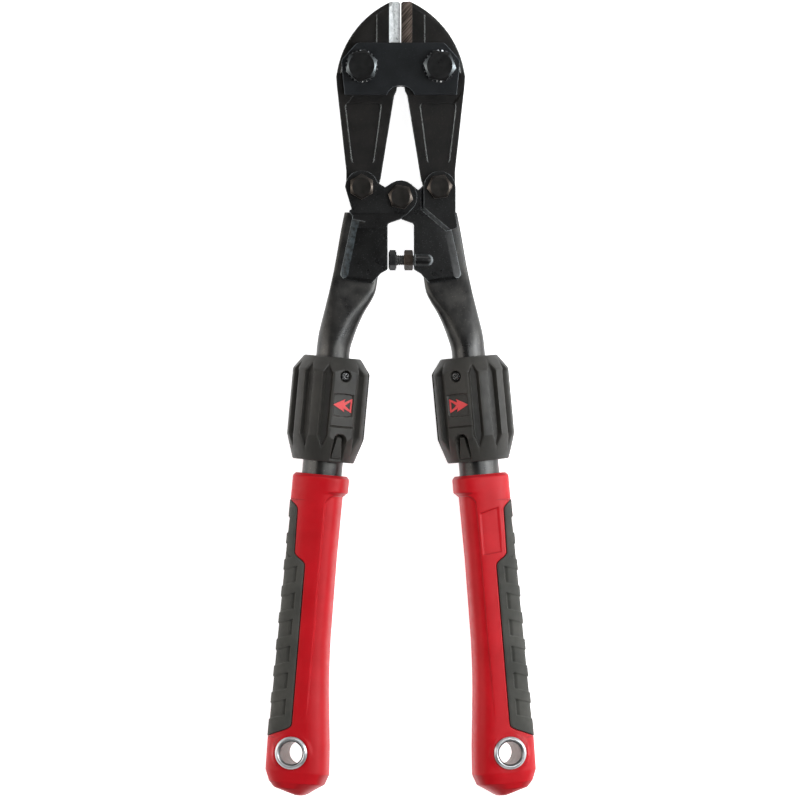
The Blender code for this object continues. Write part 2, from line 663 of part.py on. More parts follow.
def make_collar(side, label, parent):
    place = handle_frame(side)
    sleeve = turned(f"{label}_collar_sleeve", collar_profile(), 32, ring=True)
    panel_turn = side * PANEL_ANGLE
    pitch = (2 * math.pi - 2 * PANEL_HALF) / PADS
    for pad in range(PADS + 1):
        turn = panel_turn + PANEL_HALF + pitch * pad
        half, floor = GROOVE_WIDTH / 2, COLLAR_RADIUS - GROOVE_DEPTH
        top, foot = COLLAR_SHOULDER - 3, COLLAR_WAIST + 5
        ends = [(-half, foot - 5), (-half, top + 4), (0, top - 1.5)]
        ends += [(half, top + 4), (half, foot - 5), (0, foot)]
        groove = plate(f"{label}_groove_{pad}", [ends], -COLLAR_RADIUS - 3, -floor)
        cut(sleeve, groove, handle_frame(side, turn) @ Matrix.Rotation(math.radians(90), 4, "X"))
    panel = handle_frame(side, panel_turn)
    cut(sleeve, block(f"{label}_panel_flat", (-9, PANEL_RADIUS, -3), (9, 22, COLLAR_WAIST + 3)), panel)
    width, length, depth = BADGE_RECESS
    low = (-width / 2, PANEL_RADIUS - depth, BADGE_AT - length / 2)
    cut(sleeve, block(f"{label}_badge_recess", low, (width / 2, 20, BADGE_AT + length / 2)), panel)
    notch = [(-NOTCH_HALF, NOTCH_TOP, 1.5), (NOTCH_HALF, NOTCH_TOP, 1.5)]
    notch += [(NOTCH_HALF, COLLAR_LENGTH + 2), (-NOTCH_HALF, COLLAR_LENGTH + 2)]
    sunk = plate(f"{label}_notch", [rounded(notch)], -20, -NOTCH_FLOOR)
    cut(sleeve, sunk, panel @ Matrix.Rotation(math.radians(90), 4, "X"))
    screw_hole = rod(f"{label}_screw_recess", SCREW_RECESS, PANEL_RADIUS - SCREW_SINK, 20, 20)
    into_panel = handle_frame(side, panel_turn, SCREW_AT) @ Matrix.Rotation(math.radians(-90), 4, "X")
    cut(sleeve, screw_hole, into_panel)
    cut(sleeve, rod(f"{label}_screw_bore", 1.5, 12.2, 18, 16), into_panel)
    half = KEY_WIDTH / 2 + GAP
    pocket = block(f"{label}_key_pocket", (-half, -13.6, KEY_AT - half), (half, -9, KEY_AT + half))
    cut(sleeve, pocket, place)
    finish(sleeve, parent, COLLAR_PLASTIC, place)

    half = KEY_WIDTH / 2
    key = block(f"{label}_lock_key", (-half, -13.3, KEY_AT - half), (half, -6.3, KEY_AT + half))
    finish(key, parent, BRIGHT_STEEL, place)

    arrow = [(-4.5, -3.3), (-1.4, -1.5), (-1.6, -3.3), (4.5, 0), (-1.6, 3.3), (-1.4, 1.5), (-4.5, 3.3)]
    window = [(-3.7, -1.9), (-0.9, 0), (-3.7, 1.9)]
    outlines = [[(side * x, y + BADGE_AT) for x, y in points] for points in (arrow, window)]
    face = PANEL_RADIUS - depth + GAP
    badge = plate(f"{label}_arrow_badge", outlines, -face - 0.5, -face)
    finish(badge, parent, RED_PLASTIC, panel @ Matrix.Rotation(math.radians(90), 4, "X"))

    seat = PANEL_RADIUS - SCREW_SINK + GAP
    profile = [(0, seat + 1.5), (1.6, seat + 1.5), (2.1, seat + 1.0), (2.1, seat), (1.2, seat)]
    profile += [(1.2, 12.6), (0, 12.6)]
    screw = turned(f"{label}_collar_screw", profile, 16)
    for number in range(2):
        blade = block(f"{label}_screw_cross_{number}", (-1.4, -0.3, seat + 0.7), (1.4, 0.3, seat + 3))
        cut(screw, blade, into_panel @ Matrix.Rotation(math.radians(45 + 90 * number), 4, "Z"))
    finish(screw, parent, BOLT_STEEL, into_panel)


# ---------------------------------------------------------------- grips


def grip_stations():
    """Down the handle: (distance, reach outwards, reach inwards, half thickness)."""
    return [
        (GRIP_START, 11.4, 11.0, 10.1),
        (GRIP_START + 1.2, 12.6, 12.2, 11.0),
        (60.4, 12.6, 12.2, 11.0),
        (61.8, 12.6, 10.6, 11.0),
        (90.0, 12.7, 10.6, 11.0),
        (127.0, 12.9, 11.2, 11.0),
        (150.0, 13.0, 12.3, 11.0),
        (162.0, 13.1, 13.2, 11.0),
        (174.3, 13.1, 14.6, 11.0),
        (187.3, 12.8, 15.6, 11.0),
        (192.1, 10.8, 13.9, 10.5),
        (194.9, 8.2, 9.6, 9.6),
        (196.9, 1.0, 6.8, 8.0),
        (197.6, -2.0, 5.4, 6.6),
    ]


def grip_section(side, station, sides=20):
    down, outwards, inwards, half = station
    middle, width = (outwards - inwards) / 2, (outwards + inwards) / 2
    ring = []
    for i in range(sides):
        angle = 2 * math.pi * (i + 0.5) / sides
        x = math.copysign(abs(math.cos(angle)) ** SECTION_POWER, math.cos(angle))
        y = math.copysign(abs(math.sin(angle)) ** SECTION_POWER, math.sin(angle))
        ring.append((side * (middle + width * x), half * y, down))
    return ring


def rubber_region(side, inset):
    """The area of the grip that the rubber covers, seen from the front."""
    edge = [(30, 61.0), (8.3, 67.8, 2.5), (7.0, 90.0, 2.0)]
    edge += [(1.7, 93.0, 3.0), (1.0, 166.9, 4.0), (11.9, 171.8)]
    edge = rounded([*edge[:1], *[(p[0] + inset, *p[1:]) for p in edge[1:]], (30, 179.4)])
    return [(side * x, y) for x, y in edge]


def make_grip(side, label, parent):
    place = handle_frame(side, -side * GRIP_CANT)
    upright = place @ Matrix.Rotation(math.radians(90), 4, "X")
    rings = [grip_section(side, station) for station in grip_stations()]
    turned_grip = handle_frame(side, -side * GRIP_CANT, EYELET_AT)
    eyelet_place = turned_grip @ Matrix.Rotation(math.radians(-90), 4, "X")

    shell = loft(f"{label}_grip_shell", rings)
    cut(shell, plate(f"{label}_rubber_room", [rubber_region(side, 0)], -20, 20), upright)
    cut(shell, rod(f"{label}_grip_bore", GRIP_BORE, GRIP_START - 5, OUTER_END + GAP, 24), place)
    cut(shell, rod(f"{label}_eyelet_hole", EYELET_BARREL + GAP, -20, 20, 20), eyelet_place)
    if side > 0:
        sunk = plate(f"{label}_blank_panel", [rounded(BLANK_PANEL)], -20, BLANK_PANEL_SINK - GRIP_HALF)
        cut(shell, sunk, upright)
    finish(shell, parent, RED_PLASTIC, place)

    rubber = loft(f"{label}_grip_rubber", rings)
    keep = plate(f"{label}_rubber_cut", [rubber_region(side, GAP)], -20, 20)
    combine(rubber, keep, "INTERSECT", upright)
    cut(rubber, rod(f"{label}_rubber_bore", GRIP_BORE, GRIP_START - 5, 180, 24), place)
    finish(rubber, parent, GREY_RUBBER, place)

    top, seat = EYELET_FACE, GRIP_HALF + GAP
    profile = [(EYELET_FLANGE, top), (EYELET_FLANGE, seat), (EYELET_BARREL, seat), (EYELET_BARREL, -seat)]
    profile += [(EYELET_FLANGE, -seat), (EYELET_FLANGE, -top), (EYELET_BORE, -top), (EYELET_BORE, top)]
    finish(turned(f"{label}_eyelet", profile, 20, ring=True), parent, BRIGHT_STEEL, eyelet_place)

    sleeve = [(OUTER_TUBE, OUTER_END), (OUTER_TUBE, OUTER_START)]
    sleeve += [(OUTER_BORE, OUTER_START), (OUTER_BORE, OUTER_END)]
    tube = turned(f"{label}_outer_tube", sleeve, 20, ring=True)
    core_profile = [(CORE_RADIUS, CORE_END), (CORE_RADIUS, CORE_START)]
    core_profile += [(GRIP_BORE, CORE_START), (GRIP_BORE, CORE_END)]
    core = turned(f"{label}_collar_core", core_profile, 16, ring=True)
    turned_half = KEY_WIDTH / 2 + 3.4
    centre = handle_frame(side, side * TWIST / 2)
    for piece in (tube, core):
        name = piece.name + "_key_window"
        cut(piece, block(name, (-turned_half, -16, KEY_AT - 2.7), (turned_half, -5, KEY_AT + 2.7)), centre)
    finish(tube, parent, SATIN_TUBE, handle_frame(side))
    finish(core, parent, BUSH_PLASTIC, handle_frame(side))


# ---------------------------------------------------------------- build

ROOT = frame_empty("bolt_cutters_frame", shift(0, HEAD_FORWARD, HEAD_LIFT))
make_head(ROOT)
for SIDE, LABEL in ((-1, "left"), (1, "right")):
    JAW_FRAME = frame_empty(f"{LABEL}_jaw_pivot", shift(SIDE * JAW_PIVOT[0], JAW_PIVOT[1]), ROOT)
    LEVER_PLACE = shift(SIDE * LINK_PIVOT[0], LINK_PIVOT[1])
    LEVER_FRAME = frame_empty(f"{LABEL}_handle_pivot", LEVER_PLACE, JAW_FRAME)
    GRIP_FRAME = frame_empty(f"{LABEL}_grip_slide", handle_frame(SIDE), LEVER_FRAME)
    COLLAR_FRAME = frame_empty(f"{LABEL}_collar_twist", handle_frame(SIDE), GRIP_FRAME)
    make_jaw(SIDE, LABEL, JAW_FRAME)
    make_inner_tube(SIDE, LABEL, LEVER_FRAME)
    make_grip(SIDE, LABEL, GRIP_FRAME)
    make_collar(SIDE, LABEL, COLLAR_FRAME)
    if SIDE < 0:
        make_left_connector(LEVER_FRAME)
        make_link_fasteners(SIDE, "left_link", LINK_PIVOT, 30, LEVER_FRAME)
        make_link_fasteners(SIDE, "centre", CENTRE_PIVOT, -12, LEVER_FRAME)
    else:
        make_right_connector(LEVER_FRAME)
        make_link_fasteners(SIDE, "right_link", LINK_PIVOT, 7, LEVER_FRAME)
        make_stop_screw(LEVER_FRAME)
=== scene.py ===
"""Looks of the bolt cutters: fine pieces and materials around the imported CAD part.

Everything is drawn in millimetres and scaled to metres. The drawing's zero is the point midway
between the jaw bolts; the row frame's zero is the bottom centre of the tool's box.
Shapes are drawn for the right side, where side is 1, and mirrored for the left, where it is -1.
"""

import math

import bmesh
import bpy
import numpy as np
from mathutils import Matrix, Vector


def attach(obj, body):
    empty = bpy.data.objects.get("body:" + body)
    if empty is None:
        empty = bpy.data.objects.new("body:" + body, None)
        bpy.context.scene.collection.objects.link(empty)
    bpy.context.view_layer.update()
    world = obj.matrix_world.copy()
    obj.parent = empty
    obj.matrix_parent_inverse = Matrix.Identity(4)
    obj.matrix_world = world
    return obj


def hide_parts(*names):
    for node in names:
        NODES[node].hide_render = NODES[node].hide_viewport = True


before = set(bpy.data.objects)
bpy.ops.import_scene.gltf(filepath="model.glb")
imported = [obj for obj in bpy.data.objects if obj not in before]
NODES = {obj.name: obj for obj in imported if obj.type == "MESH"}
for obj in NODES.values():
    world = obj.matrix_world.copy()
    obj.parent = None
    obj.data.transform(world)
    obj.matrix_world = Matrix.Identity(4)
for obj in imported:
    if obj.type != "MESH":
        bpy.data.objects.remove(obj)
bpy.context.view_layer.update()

MM = 0.001
HEAD_FORWARD, HEAD_LIFT = 149.254, 17.392
GAP = 0.3
SIDES = ((-1, "left"), (1, "right"))
FORWARD = Matrix.Rotation(math.radians(-90), 4, "X")

# The CAD part's own measures.
JAW_X = 17.5
LINK_PIVOT = (17.5, -54.2)
CENTRE_PIVOT = (0.0, -58.7)
PLATE_OUTER, EAR_OUTER = 9.1, 8.2
STOP_Y = -87.0
INNER_WALL_X = 5.85
HANDLE_START = (30.6, -130.5)
HANDLE_TILT = math.radians(5.28)
GRIP_CANT = math.radians(11)
INNER_TUBE, INNER_BORE, INNER_END = 7.5, 6.0, 160.0
OUTER_TUBE, OUTER_BORE, OUTER_START, OUTER_END = 9.0, 8.0, 4.0, 172.2
COLLAR_LENGTH, COLLAR_RADIUS = 47.0, 17.4
PANEL_ANGLE = math.radians(24.5)
PANEL_HALF = math.radians(28.5)
PADS = 10
PANEL_RADIUS = 16.6
SCREW_AT, BADGE_AT, SEAM_AT, NOTCH_TOP = 8.3, 21.3, 31.0, 34.2
GRIP_START, GRIP_BORE, GRIP_HALF = 53.1, 9.3, 11.0
CREASE = ([61, 90, 127, 166], [4.9, 4.9, 5.3, 5.4])
EYELET_AT, EYELET_BORE, EYELET_BARREL, EYELET_FLANGE, EYELET_FACE = 178.8, 5.15, 6.1, 7.4, 12.3
KEY_AT, KEY_WIDTH, KEY_ROOM, TRAVEL = 20.0, 4.4, 2.7, 114.3
TWIST = math.radians(30)

# Measures of the fine pieces alone; a screw has a width over its flats, a radius and a pitch.
JAW_SIZE, LINK_SIZE, STOP_SIZE = (13, 3.9, 1.25), (10, 2.85, 1.0), (8, 2.4, 0.8)
BADGE_DEPTH, SEAM_DEPTH, SCREW_DEPTH = 0.95, 0.6, 2.0
HOLLOW_DEPTH, BLANK_DEPTH = 0.75, 0.45


# ---------------- places


def shift(x, y, z=0.0, turn=0.0):
    """A place in the row frame from one in the drawing."""
    place = Vector((x, y + HEAD_FORWARD, z + HEAD_LIFT)) * MM
    return Matrix.Translation(place) @ Matrix.Rotation(turn, 4, "Z")


def handle_frame(side, turn=0.0, down=0.0):
    """Z runs down the handle, Y points to the front; turn is about the handle's axis."""
    axis = Vector((side * math.sin(HANDLE_TILT), -math.cos(HANDLE_TILT), 0))
    across = Vector((math.cos(HANDLE_TILT), side * math.sin(HANDLE_TILT), 0))
    place = Matrix((across, (0, 0, 1), axis)).transposed().to_4x4()
    start = (side * HANDLE_START[0], HANDLE_START[1] + HEAD_FORWARD, HEAD_LIFT)
    place.translation = Vector(start) * MM
    return place @ Matrix.Rotation(turn, 4, "Z") @ Matrix.Translation((0, 0, down * MM))


def smooth(low, high, value):
    t = np.clip((value - low) / (high - low), 0, 1)
    return t * t * (3 - 2 * t)


# ---------------- materials


def node(tree, kind, inputs=None, **settings):
    made = tree.nodes.new("ShaderNode" + kind)
    for key, value in settings.items():
        setattr(made, key, value)
    for key, value in (inputs or {}).items():
        if isinstance(value, bpy.types.NodeSocket):
            tree.links.new(value, made.inputs[key])
        else:
            made.inputs[key].default_value = value
    return made


class Look:
    """One procedural material, built up in layers of colour, roughness and relief."""

    def __init__(self, name, roughness, metallic=0.0, **sockets):
        self.material = bpy.data.materials.new(name)
        self.material.use_nodes = True
        self.tree = self.material.node_tree
        self.shader = self.tree.nodes["Principled BSDF"]
        for key, value in {"Metallic": metallic, "Roughness": roughness, **sockets}.items():
            self.shader.inputs[key.replace("_", " ")].default_value = value
        self.place = node(self.tree, "TexCoord").outputs["Object"]
        self.relief = None

    def noise(self, size, detail, stretch=(1, 1, 1), turn=0.0):
        """Cloudy values from 0 to 1, with features about size millimetres across."""
        inputs = {"Vector": self.place, "Scale": stretch, "Rotation": (0, 0, turn)}
        kind = "POINT"
        if turn:
            inputs["Scale"] = [1 / value for value in stretch]
            kind = "TEXTURE"
        mapped = node(self.tree, "Mapping", inputs, vector_type=kind).outputs[0]
        inputs = {"Vector": mapped, "Scale": 1 / (size * MM), "Detail": detail, "Roughness": 0.55}
        return node(self.tree, "TexNoise", inputs).outputs["Fac"]

    def span(self, value, low, high, bottom=0.0, top=1.0):
        inputs = {"Value": value, "From Min": low, "From Max": high, "To Min": bottom, "To Max": top}
        return node(self.tree, "MapRange", inputs).outputs[0]

    def both(self, first, second):
        """The product of two masks, from 0 to 1."""
        inputs = {0: first, 1: second}
        return node(self.tree, "Math", inputs, operation="MULTIPLY", use_clamp=True).outputs[0]

    def less(self, first, second):
        return node(self.tree, "Math", {0: first, 1: second}, operation="SUBTRACT").outputs[0]

    def reach(self, vector, axis):
        """How far a vector reaches along an axis, either way."""
        part = node(self.tree, "SeparateXYZ", {0: vector}).outputs[axis]
        return node(self.tree, "Math", {0: part}, operation="ABSOLUTE").outputs[0]

    def mix(self, factor, first, second):
        inputs = {0: factor, 6: first, 7: second}
        return node(self.tree, "Mix", inputs, data_type="RGBA").outputs[2]

    def facing(self, axis, low, high, bottom=0.0, top=1.0):
        """A mask from how far the true surface faces along an axis, either way."""
        true = node(self.tree, "NewGeometry").outputs["True Normal"]
        return self.span(self.reach(true, axis), low, high, bottom, top)

    def lit_and_worn_corners(self, radius, lean, least=0.1):
        """1 on the corners that face the front or back, less on those that run across the tool: a mask
        for painted highlights where corners lean towards the side lamps, together with wear.

        Lean is the span of sideways lean over which a corner comes to count in full.
        """
        rounded = node(self.tree, "Bevel", {"Radius": radius * MM}, samples=6).outputs[0]
        upward = self.reach(rounded, 2)
        tilted = self.both(self.span(upward, 0.89, 0.79), self.span(upward, 0.42, 0.56))
        return self.both(tilted, self.span(self.reach(rounded, 0), *lean, least, 1.0))

    def edges(self, radius, low=0.02, high=0.25):
        """1 along corners and 0 on flats, from how far a rounded normal leans from the true one."""
        rounded = node(self.tree, "Bevel", {"Radius": radius * MM}, samples=6).outputs[0]
        true = node(self.tree, "NewGeometry").outputs["Normal"]
        dot = node(self.tree, "VectorMath", {0: rounded, 1: true}, operation="DOT_PRODUCT")
        return self.span(self.less(1.0, dot.outputs["Value"]), low, high)

    def bump(self, height, strength, depth):
        inputs = {"Height": height, "Strength": strength, "Distance": depth * MM}
        if self.relief:
            inputs["Normal"] = self.relief
        self.relief = node(self.tree, "Bump", inputs).outputs[0]

    def done(self, colour, roughness=None):
        links = self.tree.links
        links.new(colour, self.shader.inputs["Base Color"])
        if roughness is not None:
            links.new(roughness, self.shader.inputs["Roughness"])
        if self.relief:
            links.new(self.relief, self.shader.inputs["Normal"])
        return self.material


def rgb(red, green, blue):
    """A colour from its 0 to 255 screen values."""
    linear = []
    for value in (red, green, blue):
        value /= 255
        linear.append(value / 12.92 if value < 0.04045 else ((value + 0.055) / 1.055) ** 2.4)
    return (*linear, 1)


def shade(colour, share):
    return tuple(value * share for value in colour[:3]) + (1,)


def strip_light_and_shade(look, colour):
    """The connectors' sloping outer strips, with painted light and shade: lit grey on the left, painted
    shade on the right, painted highlights along their rims.
    """
    slope = look.both(look.facing(2, 0.90, 0.91), look.facing(2, 0.95, 0.94))
    slope = look.both(slope, look.facing(0, 0.2, 0.3))
    spot = node(look.tree, "SeparateXYZ", {0: look.place})
    foot, top = (HEAD_FORWARD - 95) * MM, (HEAD_FORWARD - 60) * MM
    inner_edge = look.span(spot.outputs[1], foot, top, 23.1 * MM, 16.8 * MM)
    beyond = look.less(look.reach(look.place, 0), inner_edge)
    slope = look.both(slope, look.span(beyond, 0.0, 0.2 * MM))
    # Painted light: the left strip is painted lit grey, the right one painted dark as in shade.
    right = look.span(spot.outputs[0], -MM, MM)
    paint = look.mix(right, rgb(76, 84, 88), rgb(20, 19, 18))
    paint = look.mix(look.span(look.noise(2.0, 3), 0.35, 0.7), paint, rgb(38, 39, 39))
    colour = look.mix(slope, colour, paint)
    # Painted highlight along the strips' rims.
    rim = look.both(look.edges(0.5, 0.004, 0.02), slope)
    return look.mix(rim, colour, rgb(122, 128, 130))


def black_oxide(name, tint, highlight_and_wear_radius, highlight_and_wear_colour, matt=0.3, grain=0.25, highlight_and_wear=1.0, strip=False):
    """Forged steel under black oxide, a little uneven, its corners painted bright as highlights towards
    the side lamps and as wear.
    """
    look = Look(name, matt, Specular_IOR_Level=0.3)
    cloud = look.noise(9, 4)
    speck = look.noise(0.5, 2)
    colour = look.mix(look.span(cloud, 0.35, 0.68), shade(tint, 0.62), tint)
    colour = look.mix(look.span(speck, 0.62, 0.75, 0, 0.12), colour, highlight_and_wear_colour)
    # Painted highlights on corners that face the side lamps, mixed with patchy wear.
    patchy = look.span(look.noise(1.4, 3), 0.3, 0.62, 0.35, highlight_and_wear)
    highlight_and_wear_mask = look.both(look.lit_and_worn_corners(highlight_and_wear_radius, (0.12, 0.4)), patchy)
    colour = look.mix(highlight_and_wear_mask, colour, highlight_and_wear_colour)
    # Painted light and shade on the sloping outer strips of the connectors.
    if strip:
        colour = strip_light_and_shade(look, colour)
    look.bump(look.noise(0.45, 3), 0.35, grain * 0.12)
    look.bump(look.noise(4.5, 2), 0.25, grain * 0.3)
    return look.done(colour, look.span(cloud, 0.3, 0.7, matt - 0.05, matt + 0.08))


def blade_steel(name, side):
    """A forged jaw with a ground, scored cutting bevel, painted bright on the left jaw where it faces
    the lamps and painted dark brown on the right jaw where it lies in shade.
    """
    look = Look(name, 0.3, Specular_IOR_Level=0.3)
    cloud = look.noise(10, 4)
    colour = look.mix(look.span(cloud, 0.35, 0.68), rgb(14, 13, 12), rgb(25, 22, 20))
    speck = look.span(look.noise(0.55, 2), 0.6, 0.74, 0, 0.35)
    colour = look.mix(speck, colour, rgb(66, 60, 54))
    # Painted highlights on corners that face the side lamps, mixed with patchy wear.
    patchy = look.span(look.noise(1.2, 3), 0.3, 0.6, 0.3, 0.95)
    highlight_and_wear = look.both(look.lit_and_worn_corners(0.9, (0.4, 0.6), 0.0), patchy)
    colour = look.mix(highlight_and_wear, colour, rgb(206, 210, 208))
    beside_edge = look.span(look.reach(look.place, 0), 5.22 * MM, 5.12 * MM)
    foot, down = HEAD_FORWARD - 9.2, node(look.tree, "SeparateXYZ", {0: look.place}).outputs[1]
    above_foot = look.span(down, foot * MM, (foot + 0.2) * MM)
    on_bevel = look.both(beside_edge, above_foot)
    scored = look.noise(0.45, 2, (1, 0.03, 0.03), math.radians(-side * 42))
    # The left jaw's bevel is painted bright as lit by the lamps, with real pits and grinding lines; the
    # right jaw's is painted dark brown as in shade, with its grinding lines.
    if side < 0:
        cloudy = look.span(look.noise(1.6, 4), 0.3, 0.7)
        ground = look.mix(cloudy, rgb(168, 172, 172), rgb(206, 208, 208))
        pits = look.span(look.noise(1.1, 3), 0.6, 0.7, 0, 0.85)
        ground = look.mix(pits, ground, rgb(104, 106, 106))
        ground = look.mix(look.span(scored, 0.55, 0.7, 0, 0.3), ground, rgb(236, 236, 234))
        metal = 0.35
    else:
        ground = look.mix(look.span(scored, 0.4, 0.6), rgb(52, 43, 38), rgb(116, 102, 94))
        metal = 0.3
    colour = look.mix(on_bevel, colour, ground)
    look.bump(look.noise(0.45, 3), 0.35, 0.03)
    look.bump(scored, 0.3, 0.02)
    shine = look.both(on_bevel, metal)
    look.tree.links.new(shine, look.shader.inputs["Metallic"])
    return look.done(colour, look.span(cloud, 0.3, 0.7, 0.31, 0.42))


def satin_tube(name):
    """Black-oxided tube with a faint drawn grain along it and small dull flecks."""
    look = Look(name, 0.3, 0.75)
    cloud = look.noise(7, 4)
    flecks = look.noise(0.7, 3)
    colour = look.mix(look.span(cloud, 0.3, 0.7), rgb(58, 58, 58), rgb(80, 79, 77))
    colour = look.mix(look.span(flecks, 0.62, 0.74, 0, 0.5), colour, rgb(124, 118, 110))
    # Corners painted paler: painted highlights, together with wear.
    colour = look.mix(look.edges(0.3), colour, rgb(140, 138, 134))
    look.bump(look.noise(0.4, 2), 0.25, 0.02)
    look.bump(look.noise(0.8, 2, (1, 0.06, 1)), 0.2, 0.015)
    return look.done(colour, look.span(cloud, 0.3, 0.7, 0.26, 0.38))


def bright_metal(name, colour, roughness, wall):
    """Plated steel with painted shade on the walls that stand nearly upright."""
    look = Look(name, roughness, 1.0)
    cloud = look.noise(6, 3)
    tone = look.mix(look.span(cloud, 0.3, 0.7), shade(colour, 0.85), colour)
    # Painted shade on upright walls, such as the eyelets' bores.
    tone = look.mix(look.facing(2, 0.52, 0.42), tone, wall)
    look.bump(look.noise(0.35, 2, (1, 1, 0.1)), 0.1, 0.004)
    return look.done(tone, look.span(cloud, 0.3, 0.7, roughness - 0.04, roughness + 0.06))


def bolt_plating(name, dark, light, chamfer_glint, edge):
    """Dark plating with a painted glint on the chamfers where they face sideways towards the side
    lamps, and corners painted paler as highlights and wear.
    """
    look = Look(name, 0.3, 0.6)
    cloud = look.noise(3, 4)
    colour = look.mix(look.span(cloud, 0.3, 0.7), dark, light)
    # Painted glint on the chamfers that face the side lamps.
    slope = look.both(look.facing(2, 0.97, 0.9), look.facing(0, 0.28, 0.46))
    colour = look.mix(slope, colour, chamfer_glint)
    patchy = look.span(look.noise(1.5, 3), 0.3, 0.6, 0.2, 0.6)
    # Corners painted paler: painted highlights, mixed with patchy wear.
    colour = look.mix(look.both(look.edges(0.3), patchy), colour, edge)
    look.bump(look.noise(0.5, 3), 0.3, 0.03)
    return look.done(colour, look.span(cloud, 0.3, 0.7, 0.27, 0.4))


def moulded(name, colour, light, edge, matt, grain, depth, highlight_and_wear=0.5, specular=0.4, ends=0.0):
    """Moulded plastic or rubber: slight clouding, fine pebbled relief and corners painted paler as
    highlights and wear.

    Ends is the share of painted shade on the surfaces that face along the tool.
    """
    look = Look(name, matt, Specular_IOR_Level=specular)
    cloud = look.noise(14, 3)
    colour = look.mix(look.span(cloud, 0.35, 0.68), colour, light)
    pebbles = look.noise(grain, 2)
    colour = look.mix(look.span(pebbles, 0.58, 0.72, 0, 0.25), colour, shade(light, 0.8))
    # Corners painted paler: painted highlights, together with wear.
    colour = look.mix(look.both(look.edges(0.5), highlight_and_wear), colour, edge)
    # Painted shade on the surfaces that face along the tool, such as the grips' rounded ends.
    if ends:
        colour = look.mix(look.facing(1, 0.27, 0.34, 0, ends), colour, shade(light, 0.5))
    look.bump(pebbles, 0.4, depth)
    return look.done(colour, look.span(look.noise(3, 3), 0.3, 0.7, matt - 0.05, matt + 0.07))


# The third and fourth values are the radius and colour of the painted corner highlights and wear.
FORGING = black_oxide("forging", rgb(20, 20, 20), 0.9, rgb(168, 174, 176), strip=True)
PLATE = black_oxide("plate", rgb(24, 27, 30), 0.9, rgb(130, 138, 144), 0.34, 0.12, 0.8)
STOP_BOLT = black_oxide("stop_bolt", rgb(30, 30, 30), 0.3, rgb(120, 120, 118))
STOP_NUT = black_oxide("stop_nut", rgb(66, 54, 44), 0.3, rgb(150, 136, 120))
# The last two colours of each bolt are the painted chamfer glint and the paler corners, highlights and
# wear.
BRONZE = bolt_plating(
    "bronze_bolt", rgb(30, 28, 26), rgb(42, 39, 36), rgb(88, 80, 73), rgb(180, 164, 148)
)
BLACK_BOLT = bolt_plating(
    "black_bolt", rgb(22, 22, 22), rgb(34, 34, 34), rgb(112, 118, 120), rgb(150, 156, 158)
)
TUBE = satin_tube("tube")
SILVER = bright_metal("bright", rgb(214, 216, 218), 0.38, rgb(92, 82, 74))
TOOTH = bright_metal("washer_steel", rgb(132, 134, 136), 0.24, rgb(60, 60, 60))
# The last value is the share of painted shade on the red grips' ends.
RED = moulded(
    "red_shell", rgb(196, 10, 24), rgb(208, 17, 31), rgb(236, 60, 70), 0.42, 0.5, 0.02, 0.6, 0.28, 0.6
)
RUBBER = moulded(
    "grip_rubber", rgb(66, 66, 62), rgb(82, 81, 76), rgb(136, 134, 126), 0.72, 0.35, 0.05, 0.5, 0.3
)
COLLAR = moulded("collar", rgb(46, 45, 42), rgb(59, 57, 53), rgb(104, 100, 92), 0.5, 0.4, 0.04)
# The screw's pale corners are painted glints.
COLLAR_SCREW = moulded(
    "collar_screw", rgb(20, 20, 20), rgb(30, 30, 30), rgb(190, 190, 190), 0.25, 0.4, 0.01, 1.0
)
BUSH = moulded("bush", rgb(26, 26, 26), rgb(38, 38, 38), rgb(60, 60, 60), 0.5, 0.4, 0.03)
ARROW = moulded(
    "arrow", rgb(228, 58, 64), rgb(240, 78, 80), rgb(250, 150, 130), 0.4, 0.3, 0.02, 0.25
)


# ---------------- shapes


def as_object(name, data):
    piece = bpy.data.objects.new(name, data)
    bpy.context.scene.collection.objects.link(piece)
    return piece


def cover(mesh, look):
    mesh.materials.clear()
    mesh.materials.append(look)
    mesh.polygons.foreach_set("use_smooth", [True] * len(mesh.polygons))


def add(name, shape, body, replaced, look, angle=35):
    """Make a mesh or object, drawn in the row frame, a finished piece of the tool."""
    piece = shape if isinstance(shape, bpy.types.Object) else as_object(name, shape)
    cover(piece.data, look)
    piece.data.set_sharp_from_angle(angle=math.radians(angle))
    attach(piece, body)
    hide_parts(*replaced)


def grid_mesh(name, rings, matrix, closed=True, caps=(False, False)):
    """A skin over rings of points, an array of rings x points x 3 in millimetres."""
    rows, count = rings.shape[:2]
    points = rings.reshape(-1, 3) * MM
    world = np.array(matrix)
    points = points @ world[:3, :3].T + world[:3, 3]
    faces = []
    for row in range(rows - 1):
        base, above = row * count, (row + 1) * count
        for i in range(count if closed else count - 1):
            after = (i + 1) % count
            faces.append((base + i, base + after, above + after, above + i))
    if caps[0]:
        faces.append(tuple(range(count)))
    if caps[1]:
        faces.append(tuple(range((rows - 1) * count, rows * count)))
    mesh = bpy.data.meshes.new(name)
    mesh.from_pydata(points.tolist(), [], faces)
    shape = bmesh.new()
    shape.from_mesh(mesh)
    bmesh.ops.remove_doubles(shape, verts=shape.verts, dist=0.000002)
    bmesh.ops.recalc_face_normals(shape, faces=shape.faces)
    shape.to_mesh(mesh)
    shape.free()
    return mesh


def finished(name, shape):
    """The mesh of an edited shape."""
    mesh = bpy.data.meshes.new(name)
    shape.to_mesh(mesh)
    shape.free()
    return mesh


def turned(radii, angles, heights):
    """Rings about Z from radii that are rows x points, or rows x 1."""
    rings = np.zeros((len(heights), len(angles), 3))
    rings[:, :, 0] = radii * np.cos(angles)
    rings[:, :, 1] = radii * np.sin(angles)
    rings[:, :, 2] = heights[:, None]
    return rings


